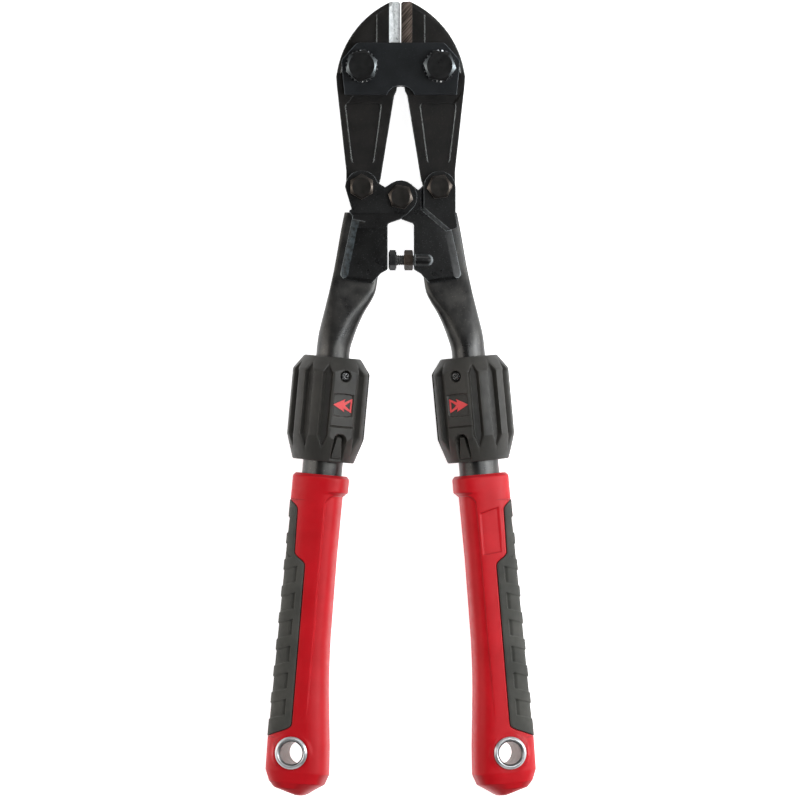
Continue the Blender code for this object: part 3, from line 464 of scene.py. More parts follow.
def lathe(name, profile, matrix, steps, ring=False):
    """A shape turned about Z from (radius, height) points."""
    angles = np.linspace(0, 2 * math.pi, steps, endpoint=False)
    rows = np.array(profile + profile[:1] if ring else profile, float)
    return grid_mesh(name, turned(rows[:, :1], angles, rows[:, 1]), matrix)


def runs(start, *stretches):
    """Places from a start on, in stretches that are each given as an end and a count of steps."""
    places = []
    for end, steps in stretches:
        places.extend(np.linspace(start, end, steps, endpoint=False))
        start = end
    return np.array([*places, start])


def fillet(corners, steps=4):
    """An open profile whose corners given as (r, z, radius) are rounded."""
    points = []
    for index, corner in enumerate(corners):
        here = Vector(corner[:2])
        if len(corner) == 2:
            points.append(tuple(here))
            continue
        back = (Vector(corners[index - 1][:2]) - here).normalized()
        ahead = (Vector(corners[(index + 1) % len(corners)][:2]) - here).normalized()
        half = back.angle(ahead) / 2
        middle = here + (back + ahead).normalized() * corner[2] / math.sin(half)
        first = here + back * corner[2] / math.tan(half) - middle
        sweep = math.copysign(math.pi - 2 * half, -back.cross(ahead))
        for step in range(steps + 1):
            spoke = first.copy()
            spoke.rotate(Matrix.Rotation(sweep * step / steps, 2))
            points.append(tuple(middle + spoke))
    return points


def prism(name, outline, low, high, matrix):
    """A straight-sided solid over a closed outline."""
    rings = np.zeros((2, len(outline), 3))
    rings[:, :, :2] = outline
    rings[0, :, 2], rings[1, :, 2] = low, high
    return as_object(name, grid_mesh(name, rings, matrix, caps=(True, True)))


def box(name, low, high, matrix):
    (x0, y0, z0), (x1, y1, z1) = low, high
    return prism(name, [(x0, y0), (x1, y0), (x1, y1), (x0, y1)], z0, z1, matrix)


def combine(piece, cutters, operation="DIFFERENCE"):
    """Cut helpers out of a piece, or keep what it shares with them, and drop the helpers."""
    for cutter in cutters:
        modifier = piece.modifiers.new("cut", "BOOLEAN")
        modifier.operation = operation
        modifier.object = cutter
    bpy.context.view_layer.update()
    graph = bpy.context.evaluated_depsgraph_get()
    mesh = bpy.data.meshes.new_from_object(piece.evaluated_get(graph))
    piece.modifiers.clear()
    piece.data = mesh
    for cutter in cutters:
        bpy.data.objects.remove(cutter)
    return piece


def soften(piece, width, segments=3):
    """Round a piece's corners, and keep its flats flat."""
    bevel = piece.modifiers.new("round", "BEVEL")
    bevel.width = width * MM
    bevel.segments = segments
    bevel.limit_method = "ANGLE"
    bevel.angle_limit = math.radians(30)
    bevel.use_clamp_overlap = True
    bevel.miter_outer = "MITER_ARC"
    weights = piece.modifiers.new("weights", "WEIGHTED_NORMAL")
    weights.keep_sharp = False
    weights.weight = 60


# ---------------- CAD nodes that stay


def keep(name, look, width, segments=3):
    """A carried-over CAD node: its own shape with rounded corners and a finished material."""
    piece = NODES[name]
    attributes = piece.data.attributes
    for attribute in ("custom_normal", "sharp_edge", "sharp_face"):
        if attribute in attributes:
            attributes.remove(attributes[attribute])
    cover(piece.data, look)
    weld = piece.modifiers.new("weld", "WELD")
    weld.merge_threshold = 0.000005
    flat = piece.modifiers.new("flat", "DECIMATE")
    flat.decimate_type = "DISSOLVE"
    flat.angle_limit = math.radians(1.5)
    if width:
        soften(piece, width, segments)


def keep_head():
    for face in ("front", "back"):
        keep(f"{face}_plate", PLATE, 0.45, 3)
    for side, label in SIDES:
        keep(f"{label}_jaw", blade_steel(f"{label}_jaw_steel", side), 0.4, 3)
        keep(f"{label}_connector", FORGING, 0.45, 3)
        keep(f"{label}_slide_bush", BUSH, 0.0)
        keep(f"{label}_collar_core", BUSH, 0.0)
        keep(f"{label}_lock_key", SILVER, 0.3, 2)


# ---------------- fasteners


def thread(name, radius, low, high, pitch, matrix):
    """A screw thread: a bar about Z whose surface rises and falls along a helix."""
    steps, depth = 36, pitch * 0.5
    heights = np.arange(low, high + 0.001, pitch / 8)
    angles = np.linspace(0, 2 * math.pi, steps, endpoint=False)
    phase = (heights[:, None] / pitch - angles[None, :] / (2 * math.pi)) % 1
    crest = np.clip(np.abs(phase - 0.5) * 2.6 - 0.15, 0, 1)
    lead = np.minimum(smooth(0, pitch, heights - low), 1)[:, None]
    radii = radius - depth * (1 - crest) - 0.5 * (1 - lead)
    rings = turned(radii, angles, heights)
    return as_object(name, grid_mesh(name, rings, matrix, caps=(True, True)))


def cut_flats(name, profile, corner, matrix, ring=False):
    """A turned body trimmed to a hexagon that has a corner on X."""
    body = as_object(name, lathe(name, profile, matrix, 120, ring=ring))
    outline = [(corner * math.cos(a), corner * math.sin(a)) for a in np.arange(6) * math.pi / 3]
    heights = np.array(profile)[:, 1]
    hexagon = prism("hexagon", outline, heights.min() - 1, heights.max() + 1, matrix)
    return combine(body, [hexagon], "INTERSECT")


def hex_head(name, flats, low, high, matrix, crown):
    """A hexagon whose top is turned to a cone round a flat disc, on a low washer face."""
    corner, washer_face, raised = flats / math.sqrt(3), flats / 2 * 0.96, 0.35
    top = flats / 2 * crown
    drop = (corner - top) * 0.58
    profile = [(0, high - 0.05), (top * 0.55, high - 0.04), (top * 0.8, high), (top - 0.35, high)]
    profile += [(top - 0.2, high), (top, high - 0.1), (corner + 0.2, high - drop - 0.1)]
    profile += [(corner + 0.2, low + raised), (washer_face, low + raised), (washer_face, low), (0, low)]
    return cut_flats(name, profile, corner, matrix)


def nut(name, body, size, play, low, high, matrix, look):
    """A hexagon nut with both faces turned to a cone, its bore wider than the screw by the play."""
    flats, bore = size[0], size[1] + play
    corner, face = flats / math.sqrt(3), flats / 2 * 0.95
    drop = (corner - face) * 0.55
    profile = [(bore + 0.5, high), (face, high), (corner + 0.2, high - drop)]
    profile += [(corner + 0.2, low + drop), (face, low), (bore + 0.5, low)]
    profile += [(bore, low + 0.5), (bore, high - 0.5)]
    shape = cut_flats(name, profile, corner, matrix, ring=True)
    add(name, shape, body, [name[: -len("_fine")]], look, 18)


def bolt(name, body, size, heights, matrix, crown, look):
    """A hexagon bolt: head, plain shank and thread; heights run from its tip to its top."""
    flats, radius, pitch = size
    tip, thread_from, seat, top = heights
    shoulder = thread_from - 0.6
    profile = [(0, seat + 0.5), (radius, seat + 0.5), (radius, thread_from)]
    profile += [(radius - 0.6, shoulder), (0, shoulder)]
    head = hex_head(name + "_head", flats, seat, top, matrix, crown)
    shank = as_object(name + "_shank", lathe(name + "_shank", profile, matrix, 48))
    end = thread(name + "_thread", radius, tip, thread_from, pitch, matrix)
    joined = bmesh.new()
    for part in (head, shank, end):
        joined.from_mesh(part.data)
        bpy.data.objects.remove(part)
    add(name, finished(name, joined), body, [name[: -len("_fine")]], look, 18)


def toothed_washer(label, matrix):
    """A lock washer: a flat ring with twisted teeth round its outer edge."""
    base, teeth = PLATE_OUTER + GAP, 24
    inner, outer, top = 4.4, 6.3, base + 0.7
    tooth_size, twist = (1.3 * MM, 0.85 * MM, 0.5 * MM, 1), math.radians(32)
    tooth_at = Matrix.Translation(Vector((outer + 0.35, 0, base + 0.6)) * MM)
    tooth = Matrix.Rotation(twist, 4, "X") @ Matrix.Diagonal(tooth_size)
    rim = [(inner, top), (outer, top), (outer, base), (inner, base)]
    shape = bmesh.new()
    shape.from_mesh(lathe("rim", rim, matrix, 72, True))
    for index in range(teeth):
        turn = Matrix.Rotation(2 * math.pi * index / teeth, 4, "Z")
        bmesh.ops.create_cube(shape, size=1, matrix=matrix @ turn @ tooth_at @ tooth)
    name = f"{label}_lock_washer_fine"
    add(name, finished(name, shape), "head", [f"{label}_lock_washer"], TOOTH)


def make_jaw_bolts():
    seat, nut_top = PLATE_OUTER + GAP + 1.35, -PLATE_OUTER - GAP
    span, heights = (nut_top - 5.6, nut_top), (0.2 - HEAD_LIFT, nut_top - 2, seat, seat + 5.35)
    for side, label, turn in ((-1, "left", 20), (1, "right", -9)):
        spot = shift(side * JAW_X, 0, 0, math.radians(turn))
        toothed_washer(label, spot)
        bolt(f"{label}_jaw_bolt_fine", "head", JAW_SIZE, heights, spot, 0.91, BLACK_BOLT)
        nut(f"{label}_jaw_nut_fine", "head", JAW_SIZE, 0.2, *span, spot, BLACK_BOLT)


def make_link_bolts():
    seat, top, nut_top = EAR_OUTER + 0.12, EAR_OUTER + GAP + 4, -EAR_OUTER - GAP
    span, heights = (nut_top - 4.6, nut_top), (nut_top - 5.6, nut_top - 2, seat, top)
    for label, spot, turn, body in (
        ("left_link", (-LINK_PIVOT[0], LINK_PIVOT[1]), 30, "left_lever"),
        ("centre", CENTRE_PIVOT, -12, "left_lever"),
        ("right_link", LINK_PIVOT, 7, "right_lever"),
    ):
        place = shift(*spot, 0, math.radians(turn))
        bolt(f"{label}_bolt_fine", body, LINK_SIZE, heights, place, 0.88, BRONZE)
        nut(f"{label}_nut_fine", body, LINK_SIZE, 0.2, *span, place, BRONZE)


def make_stop_screw():
    """The stop screw points into the right connector, with its head near the left one."""
    sideways = Matrix.Rotation(math.radians(-90), 4, "Y") @ Matrix.Rotation(math.radians(30), 4, "Z")
    place = shift(0, STOP_Y) @ sideways
    span, heights = (-INNER_WALL_X + GAP, -1.5), (-13.8, 1.6, 1.9, INNER_WALL_X - 0.4)
    bolt("stop_screw_fine", "right_lever", STOP_SIZE, heights, place, 0.9, STOP_BOLT)
    nut("stop_jam_nut_fine", "right_lever", STOP_SIZE, 0.1, *span, place, STOP_NUT)


# ---------------- tubes


def handle_point(across, down):
    """A point in the tool's plane, from its place along and across the right handle."""
    x = HANDLE_START[0] + across * math.cos(HANDLE_TILT) + down * math.sin(HANDLE_TILT)
    y = HANDLE_START[1] + across * math.sin(HANDLE_TILT) - down * math.cos(HANDLE_TILT)
    return (x, y)


# The inner tube: a point on its outer side, one on its inner side and half its thickness.
TUBE_STATIONS = [
    ((25.3, -65.5), (16.0, -65.5), 2.6),
    ((26.9, -73.5), (13.0, -73.5), 2.6),
    ((28.4, -82.1), (10.6, -82.1), 2.7),
    ((30.0, -91.0), (10.0, -91.0), 2.9),
    ((31.3, -97.0), (10.6, -97.0), 3.5),
    ((32.2, -101.0), (11.5, -101.6), 4.2),
    ((33.1, -104.6), (13.4, -105.6), 4.9),
    ((34.3, -109.4), (16.4, -110.6), 5.8),
    ((35.7, -114.9), (19.2, -116.6), 6.5),
    ((37.0, -120.4), (21.3, -122.3), 7.1),
    (handle_point(INNER_TUBE, -4), handle_point(-INNER_TUBE, -4), INNER_TUBE),
    (handle_point(INNER_TUBE, 2), handle_point(-INNER_TUBE, 2), INNER_TUBE),
]


def between(values, steps):
    """Values on a smooth curve through the given ones, with steps to each stretch."""
    values = np.array(values, float)
    slopes = np.gradient(values, axis=0)
    t = np.linspace(0, 1, steps, endpoint=False)[:, None]
    fine = []
    for here, ahead, leaving, arriving in zip(values, values[1:], slopes, slopes[1:]):
        run = (2 * t**3 - 3 * t**2 + 1) * here + (t**3 - 2 * t**2 + t) * leaving
        fine.extend(run + (-2 * t**3 + 3 * t**2) * ahead + (t**3 - t**2) * arriving)
    return np.array([*fine, values[-1]])


def squared(values, power):
    """Sines or cosines pushed outwards, which makes a round outline squarer."""
    return np.sign(values) * np.abs(values) ** power


def make_inner_tube(side, label):
    """A tube whose upper end is pressed flat and bent to follow the connector."""
    rows = [(*outer, *inner, half) for outer, inner, half in TUBE_STATIONS]
    straight = [
        (*handle_point(INNER_TUBE, down), *handle_point(-INNER_TUBE, down), INNER_TUBE)
        for down in (60, INNER_END)
    ]
    angles = np.linspace(0, 2 * math.pi, 56, endpoint=False)
    rings = []
    for row in np.vstack([between(rows, 5), straight]):
        outer, inner, half = row[:2], row[2:4], row[4]
        middle, across = (outer + inner) / 2, (outer - inner) / 2
        power = 2 / (2 + 1.6 * (np.linalg.norm(across) / half - 1))
        ring = np.zeros((len(angles), 3))
        ring[:, :2] = middle + squared(np.cos(angles), power)[:, None] * across
        ring[:, 0] *= side
        ring[:, 2] = squared(np.sin(angles), power) * half
        rings.append(ring)
    name = f"{label}_inner_tube_fine"
    tube = as_object(name, grid_mesh(name, np.array(rings), shift(0, 0), caps=(True, True)))
    place = handle_frame(side)
    low, high = sorted((side * -1.0, side * 15.8))
    cutters = [box("relief", (low, -91.5, -12), (high, -60, 12), shift(0, 0))]
    bore = [(0, INNER_END + 5), (INNER_BORE, INNER_END + 5), (INNER_BORE, -5), (0, -7)]
    cutters.append(as_object("bore", lathe("bore", bore, place, 48)))
    half, room = KEY_WIDTH / 2 + GAP, 3.5
    cutters.append(box("slot", (-half, -9, KEY_AT - room), (half, -4, KEY_AT + TRAVEL + room), place))
    half, place = KEY_WIDTH / 2 + 2.3, handle_frame(side, side * TWIST / 2)
    for at in (KEY_AT, KEY_AT + TRAVEL):
        cutters.append(box("notch", (-half, -9, at - KEY_ROOM), (half, -4.4, at + KEY_ROOM), place))
    combine(tube, cutters)
    add(name, tube, f"{label}_lever", [f"{label}_inner_tube"], TUBE, 30)


def make_outer_tube(side, label):
    name = f"{label}_outer_tube_fine"
    corner = 0.4
    profile = [(OUTER_TUBE, OUTER_END - corner), (OUTER_TUBE, OUTER_START + corner)]
    profile += [(OUTER_TUBE - corner, OUTER_START), (OUTER_BORE, OUTER_START)]
    profile += [(OUTER_BORE, OUTER_END), (OUTER_TUBE - corner, OUTER_END)]
    tube = as_object(name, lathe(name, profile, handle_frame(side), 72, ring=True))
    half = KEY_WIDTH / 2 + 3.4
    window = (-half, -16, KEY_AT - KEY_ROOM), (half, -5, KEY_AT + KEY_ROOM)
    combine(tube, [box("window", *window, handle_frame(side, side * TWIST / 2))])
    add(name, tube, f"{label}_grip", [f"{label}_outer_tube"], TUBE, 30)


# ---------------- collars


def inside_distance(x, y, corners):
    """How far points lie inside a convex outline, negative outside; corners run anticlockwise."""
    nearest = np.full(np.broadcast(x, y).shape, np.inf)
    for (x0, y0), (x1, y1) in zip(corners, corners[1:] + corners[:1]):
        length = math.hypot(x1 - x0, y1 - y0)
        depth = ((x1 - x0) * (y - y0) - (y1 - y0) * (x - x0)) / length
        nearest = np.minimum(nearest, depth)
    return nearest


def cut_grooves(radius, around, down):
    """The sleeve's radius with grooves between its pads, pointed at both ends."""
    pitch = (2 * math.pi - 2 * PANEL_HALF) / PADS
    turn = (around - PANEL_HALF) % (2 * math.pi)
    number = np.minimum(np.round(turn / pitch), PADS)
    centre = np.where(turn > pitch * PADS + PANEL_HALF, 2 * math.pi, number * pitch)
    half, floor = 2.25, COLLAR_RADIUS - 2.5
    outline = [(-half, 7.5), (0, 2.6), (half, 7.5), (half, 35.5), (0, 41.5), (-half, 35.5)]
    depth = inside_distance(COLLAR_RADIUS * (turn - centre), down, outline)
    sunk = smooth(-0.15, 0.55, depth)
    lip = smooth(-1.1, -0.1, depth) * (1 - sunk)
    return radius - sunk * np.maximum(radius - floor, 0) - 0.1 * lip


def badge_pocket(across, down):
    """1 in the badge's pocket, which has straight sides and bowed ends."""
    bow, half = 24.0, 5.0
    top_edge = bow - np.hypot(across, down - (BADGE_AT - 5.3 + bow))
    foot_edge = bow - np.hypot(across, down - (BADGE_AT + 5.2 - bow))
    return smooth(-0.05, 0.3, np.minimum(np.minimum(top_edge, foot_edge), half - np.abs(across)))


def notch_and_tab(across, down):
    """1 in the arched notch at the panel's foot, and 1 on the flared tab that stands in it."""
    half, arch = 3.2, 3.15
    crown = NOTCH_TOP + 3.0 - np.sqrt(arch**2 - np.minimum(np.abs(across), arch) ** 2) * 0.92
    notch = smooth(-0.1, 0.45, np.minimum(half - np.abs(across), down - crown))
    tab_half = 1.5 + 0.95 * smooth(NOTCH_TOP + 1, 44.5, down)
    tab = smooth(-0.25, 0.25, tab_half - np.abs(across)) * smooth(0.8, 1.8, down - NOTCH_TOP)
    return notch * smooth(46.9, 46.2, down), tab * smooth(45.6, 45.0, down)


def collar_surface(around, down):
    """The sleeve's radius over the angle from its panel's middle and the distance down it."""
    foot, waist = COLLAR_LENGTH, 36.0
    downs = [0, 0.4, 6.1, 6.8, waist - 0.3, waist + 0.3, foot - 0.4, foot]
    radii = [12.5, 13.0, 17.15, COLLAR_RADIUS, COLLAR_RADIUS, 17.25, 13.9, 13.5]
    radius = cut_grooves(np.interp(down, downs, radii) + 0 * around, around, down)
    angle = np.where(around > math.pi, around - 2 * math.pi, around)
    near = np.abs(angle) < 1.0
    across = np.where(near, radius * np.sin(angle), 99.0)
    height = radius * np.cos(angle)
    height = np.where(near & (down < 38), np.minimum(height, PANEL_RADIUS), height)
    height = height - BADGE_DEPTH * badge_pocket(across, down)
    seam = smooth(0.42, 0.12, np.abs(down - SEAM_AT)) * smooth(5.9, 5.5, np.abs(across))
    height = height - SEAM_DEPTH * seam
    bore = smooth(0.15, -0.2, np.hypot(across, down - SCREW_AT) - 2.55)
    height = height - bore * (height - (PANEL_RADIUS - SCREW_DEPTH - 0.2))
    notch, tab = notch_and_tab(across, down)
    height = height - notch * np.maximum(height - 13.3, 0)
    tab_top = np.interp(down, [35, 45], [15.6, 14.2])
    height = height + tab * notch * np.maximum(tab_top - height, 0)
    return np.where(near, np.hypot(across, height), radius)


def make_collar(side, label):
    angles = np.linspace(0, 2 * math.pi, 384, endpoint=False)
    downs = runs(0, (3, 12), (46, 172), (COLLAR_LENGTH, 5))
    around = (angles * side) % (2 * math.pi)
    from_panel = math.pi / 2 - angles
    rings = turned(collar_surface(around[None, :], downs[:, None]), from_panel, downs)
    hollow = [(9.3, COLLAR_LENGTH), (9.3, 45.1), (11.5, 45.1), (11.5, 2.9), (7.8, 2.9), (7.8, 0)]
    hollow = np.array(hollow)
    rings = np.vstack([rings, turned(hollow[:, :1], from_panel, hollow[:, 1]), rings[:1]])
    panel = handle_frame(side, side * PANEL_ANGLE)
    name = f"{label}_collar_sleeve_fine"
    mesh = grid_mesh(name, rings, panel)
    add(name, mesh, f"{label}_collar", [f"{label}_collar_sleeve"], COLLAR, 50)
    make_badge(side, label, panel)
    make_collar_screw(side, label)


def make_badge(side, label, panel):
    """A double arrow that points outwards: a solid head in front of an outlined one."""
    head = [(4.7, 0.0), (-1.1, 2.9), (-0.6, 1.3), (-4.5, 3.2), (-4.5, -3.2), (-0.6, -1.3), (-1.1, -2.9)]
    window = [(-3.7, 1.9), (-3.7, -1.9), (-1.2, 0.0)]
    face = PANEL_RADIUS - BADGE_DEPTH
    upright = panel @ Matrix.Rotation(math.radians(90), 4, "X")
    head = [(side * x, y + BADGE_AT) for x, y in head]
    window = [(side * x, y + BADGE_AT) for x, y in window]
    badge = prism(f"{label}_arrow_badge_fine", head, -face - 0.28, -face + 0.1, upright)
    combine(badge, [prism("window", window, -face - 2, -face + 2, upright)])
    add(badge.name, badge, f"{label}_collar", [f"{label}_arrow_badge"], ARROW)
    soften(badge, 0.12, 2)


def make_collar_screw(side, label):
    """A small pan-head screw with a cross recess, deep in the panel."""
    place = handle_frame(side, side * PANEL_ANGLE, SCREW_AT) @ FORWARD
    seat, radius = PANEL_RADIUS - SCREW_DEPTH, 2.15
    name = f"{label}_collar_screw_fine"
    profile = [(0, seat + 1.75), (radius - 0.25, seat + 1.5, 0.5), (radius, seat + 0.4)]
    profile = fillet([*profile, (radius, seat), (0, seat)])
    head = as_object(name, lathe(name, profile, place, 48))
    cutters = []
    for number in range(2):
        turn = place @ Matrix.Rotation(math.radians(45 + 90 * number), 4, "Z")
        cutters.append(box("slot", (-1.35, -0.3, seat + 0.7), (1.35, 0.3, seat + 3), turn))
    combine(head, cutters)
    add(name, head, f"{label}_collar", [f"{label}_collar_screw"], COLLAR_SCREW, 30)
    soften(head, 0.08, 2)


# ---------------- grips


# Down the handle: distance, reach outwards, reach inwards and half thickness.
GRIP_STATIONS = np.array(
    [
        (GRIP_START, 11.4, 11.0, 10.1),
        (GRIP_START + 1.3, 12.6, 12.2, GRIP_HALF),
        (60.6, 12.6, 12.2, GRIP_HALF),
        (61.6, 12.6, 10.7, GRIP_HALF),
        (90.0, 12.7, 10.6, GRIP_HALF),
        (127.0, 12.9, 11.2, GRIP_HALF),
        (150.0, 13.0, 12.3, GRIP_HALF),
        (162.0, 13.1, 13.2, GRIP_HALF),
        (174.3, 13.1, 14.6, GRIP_HALF),
        (187.3, 12.8, 15.6, GRIP_HALF),
        (192.1, 10.8, 13.9, 10.5),
        (194.9, 8.2, 9.6, 9.6),
        (196.9, 1.0, 6.8, 8.0),
        (197.6, -2.0, 5.4, 6.6),
    ]
)
MARGINS = np.array([0.0, 0.06, 0.14, 0.26, 0.42, 0.62])
WINDOW_SLANT, WINDOW_FIRST, WINDOW_COUNT = math.tan(math.radians(18)), 73.5, 8
WINDOW_PITCH, WINDOW_LENGTH, WINDOW_MARGIN = 12.0, 7.3, 3.2


def rubber_edge(down):
    """How far outwards the rubber starts, over the distance down the handle."""
    downs = [60, 64.6, 67.9, 68.6, 90.0, 93.2, 166.8, 167.7, 172.9]
    places = [20, 13.4, 8.3, 7.6, 7.0, 1.7, 1.0, 1.6, 14.5]
    rounding = np.linspace(-1.4, 1.4, 15)
    return np.mean([np.interp(down + offset, downs, places) for offset in rounding], axis=0)


def station_at(down):
    """How far the grip reaches outwards, inwards and forwards, with the bends of its run rounded."""
    offsets = np.linspace(-0.5, 0.5, 5)
    if down < 61 or down > 186:
        offsets = offsets * 0.4
    places = GRIP_STATIONS[:, 0]
    return [np.interp(down + offsets, places, GRIP_STATIONS[:, k]).mean() for k in (1, 2, 3)]


def section(down):
    """A closed outline of the grip from its outermost point round the front, inside and back."""
    outwards, inwards, half = station_at(down)
    middle, width = (outwards - inwards) / 2, (outwards + inwards) / 2
    angles = np.linspace(0, 2 * math.pi, 721)
    across, front = squared(np.cos(angles), 0.68), squared(np.sin(angles), 0.68)
    points = np.stack([middle + width * across, half * front], 1)
    steps = np.linalg.norm(np.diff(points, axis=0), axis=1)
    return points, np.concatenate([[0], np.cumsum(steps)])


def arc_where(points, lengths, across):
    """The distance round the outline at which it first crosses a place across the grip."""
    half = len(points) // 2
    return np.interp(-across, -points[: half + 1, 0], lengths[: half + 1])


def spread(start, end, inner, margins):
    """Places from start to end: some close to the first end and an even run to the other."""
    close = start + margins
    return np.concatenate([close, np.linspace(close[-1], end, inner + 1)[1:]])


def placed(points, lengths, places):
    """Points and outward normals at distances round the outline."""
    rows = []
    for step in (0, 0.12, -0.12):
        at = (places + step) % lengths[-1]
        rows.append([np.interp(at, lengths, points[:, 0]), np.interp(at, lengths, points[:, 1])])
    where, ahead, behind = np.array(rows)
    along = (ahead - behind) / np.hypot(*(ahead - behind))
    return where.T, np.stack([along[1], -along[0]], 1)


def skirted(side, down, ring, normal, skirt):
    """A ring in the grip's frame, with both of its ends turned inwards."""
    ring = np.vstack([ring[:1] - normal[:1] * skirt, ring, ring[-1:] - normal[-1:] * skirt])
    return np.column_stack([side * ring[:, 0], ring[:, 1], np.full(len(ring), down)])


def rolled(distance, radius):
    """How far a rounded corner has dropped, over the distance in from its edge."""
    left = np.clip(radius - distance, 0, radius)
    return radius - np.sqrt(radius**2 - left**2)


def hollow_at(across, down):
    """The inner side of the grip lies a little lower, below a guard with a rounded corner."""
    corner, guard_foot = 4.5, 62.2
    x, y = np.interp(down, *CREASE) + corner + across, guard_foot + corner - down
    outside = np.hypot(np.maximum(x, 0), np.maximum(y, 0)) + np.minimum(np.maximum(x, y), 0) - corner
    return smooth(0.3, -0.3, outside) * (1 - smooth(135, 166, down))


def blank_panel(across, down, side):
    """A shallow blank panel on the right grip only."""
    if side < 0:
        return 0 * across
    corners = [(-3.6, 70.4), (5.0, 68.3), (4.8, 88.6), (-3.9, 89.3)]
    return smooth(-0.1, 0.4, inside_distance(across, down, corners))


def shell_places(lengths, start, crease_at, stretch):
    """Distances round the outline from the rubber's front edge to its back edge, close at creases."""
    total, bend = lengths[-1], 0.9
    first = spread(start, crease_at - bend, 26, MARGINS * min(stretch, 3.0))
    front = np.concatenate([first, np.linspace(crease_at - bend, crease_at + bend, 13)[1:]])
    inner = np.linspace(crease_at + bend, total - crease_at - bend, 44)[1:]
    return np.concatenate([front, inner, total - front[::-1][1:]])


def shell_ring(side, down, edge, slope):
    """The red shell's outline at one distance down the handle, open where the rubber lies."""
    points, lengths = section(down)
    start = arc_where(points, lengths, edge)
    crease_at = arc_where(points, lengths, -float(np.interp(down, *CREASE)))
    stretch, room = math.hypot(1, slope), smooth(0.0, 1.2, start)
    places = shell_places(lengths, start, crease_at, stretch)
    where, normal = placed(points, lengths, places)
    inset = np.minimum(places - start, lengths[-1] - start - places)
    drop = rolled(inset / max(stretch, 1), 0.55) * room
    across = where[:, 0]
    drop = drop + HOLLOW_DEPTH * hollow_at(across, down)
    drop = drop + BLANK_DEPTH * blank_panel(across, down, side) * (where[:, 1] > 0)
    pad = smooth(9.5, 8.2, np.hypot(across, down - EYELET_AT))
    level = np.sign(where[:, 1]) * (GRIP_HALF - 0.05)
    where[:, 1] = where[:, 1] * (1 - pad) + level * pad
    return skirted(side, down, where - normal * drop[:, None], normal, 1.4 * room)


def make_grip_shell(side, label):
    stretches = [(54.3, 4), (60.4, 9), (70.0, 38), (88.0, 45), (95.0, 28), (165.0, 144)]
    downs = runs(GRIP_START, *stretches, (174.0, 36), (187.3, 26), (197.6, 41))
    edges = rubber_edge(downs)
    rows = zip(downs, edges, np.gradient(edges, downs))
    rings = np.array([shell_ring(side, *row) for row in rows])
    top, foot = rings[0], rings[-1]
    angles = np.arctan2(top[:, 1], top[:, 0])
    bore = np.column_stack([GRIP_BORE * np.cos(angles), GRIP_BORE * np.sin(angles), top[:, 2]])
    mouth = [bore + (0, 0, 6.0), bore, (top + bore) / 2]
    middle, crowned = foot.mean(0), 0.12
    closing = []
    for share in (0.94, 0.7, 0.35, 0.0):
        closing.append(middle + (foot - middle) * share + (0, 0, (1 - share) * crowned))
    name = f"{label}_grip_shell_fine"
    place = handle_frame(side, -side * GRIP_CANT)
    shell = as_object(name, grid_mesh(name, np.array([*mouth, *rings, *closing]), place))
    eyelet = handle_frame(side, -side * GRIP_CANT, EYELET_AT) @ FORWARD
    radius = EYELET_BARREL + GAP
    hole = [(0, 20), (radius, 20), (radius, -20), (0, -20)]
    combine(shell, [as_object("hole", lathe("hole", hole, eyelet, 64))])
    add(name, shell, f"{label}_grip", [f"{label}_grip_shell"], RED, 45)


def window_depth(across, down, edge):
    """Recessed windows that slant across the rubber and grow shallower round its outer side."""
    along = down + (12.9 - across) * WINDOW_SLANT - WINDOW_FIRST
    index = np.floor(along / WINDOW_PITCH)
    within = along - WINDOW_PITCH * index
    ends = np.minimum(within, WINDOW_LENGTH - within)
    wall = np.minimum(ends, across - edge - WINDOW_MARGIN)
    depth = 1.1 - 0.65 * smooth(edge + 3.5, edge + 5.2, across)
    return depth * smooth(-0.1, 0.3, wall) * (index >= 0) * (index < WINDOW_COUNT)


def rubber_ring(side, down, edge, slope):
    """The rubber's outline at one distance down the handle, or None where it has run out."""
    points, lengths = section(down)
    start = arc_where(points, lengths, edge)
    if start < 0.05:
        return None
    stretch = math.hypot(1, slope)
    reach = min(MARGINS[-1] * min(stretch, 3.0), start * 0.5)
    front = start - spread(0.0, start, 52, MARGINS / MARGINS[-1] * reach)
    places = np.concatenate([front, -front[::-1][1:]])
    where, normal = placed(points, lengths, places)
    inset = start - np.abs(places)
    drop = rolled(inset / max(stretch, 1), 0.45) * smooth(0.0, 1.0, start)
    drop = drop + window_depth(where[:, 0], down, edge) - 0.25
    drop = np.where(inset < 0.5, np.maximum(drop, -0.1), drop)
    skirt = 1.2 * smooth(0.0, 1.2, start)
    return skirted(side, down, where - normal * drop[:, None], normal, skirt)


def make_grip_rubber(side, label):
    downs = runs(64.6, (69.0, 19), (166.0, 323), (172.5, 26))
    edges = rubber_edge(downs) + GAP
    rows = zip(downs, edges, np.gradient(edges, downs))
    rings = [ring for ring in (rubber_ring(side, *row) for row in rows) if ring is not None]
    place = handle_frame(side, -side * GRIP_CANT)
    name = f"{label}_grip_rubber_fine"
    mesh = grid_mesh(name, np.array(rings), place, closed=False)
    add(name, mesh, f"{label}_grip", [f"{label}_grip_rubber"], RUBBER, 60)


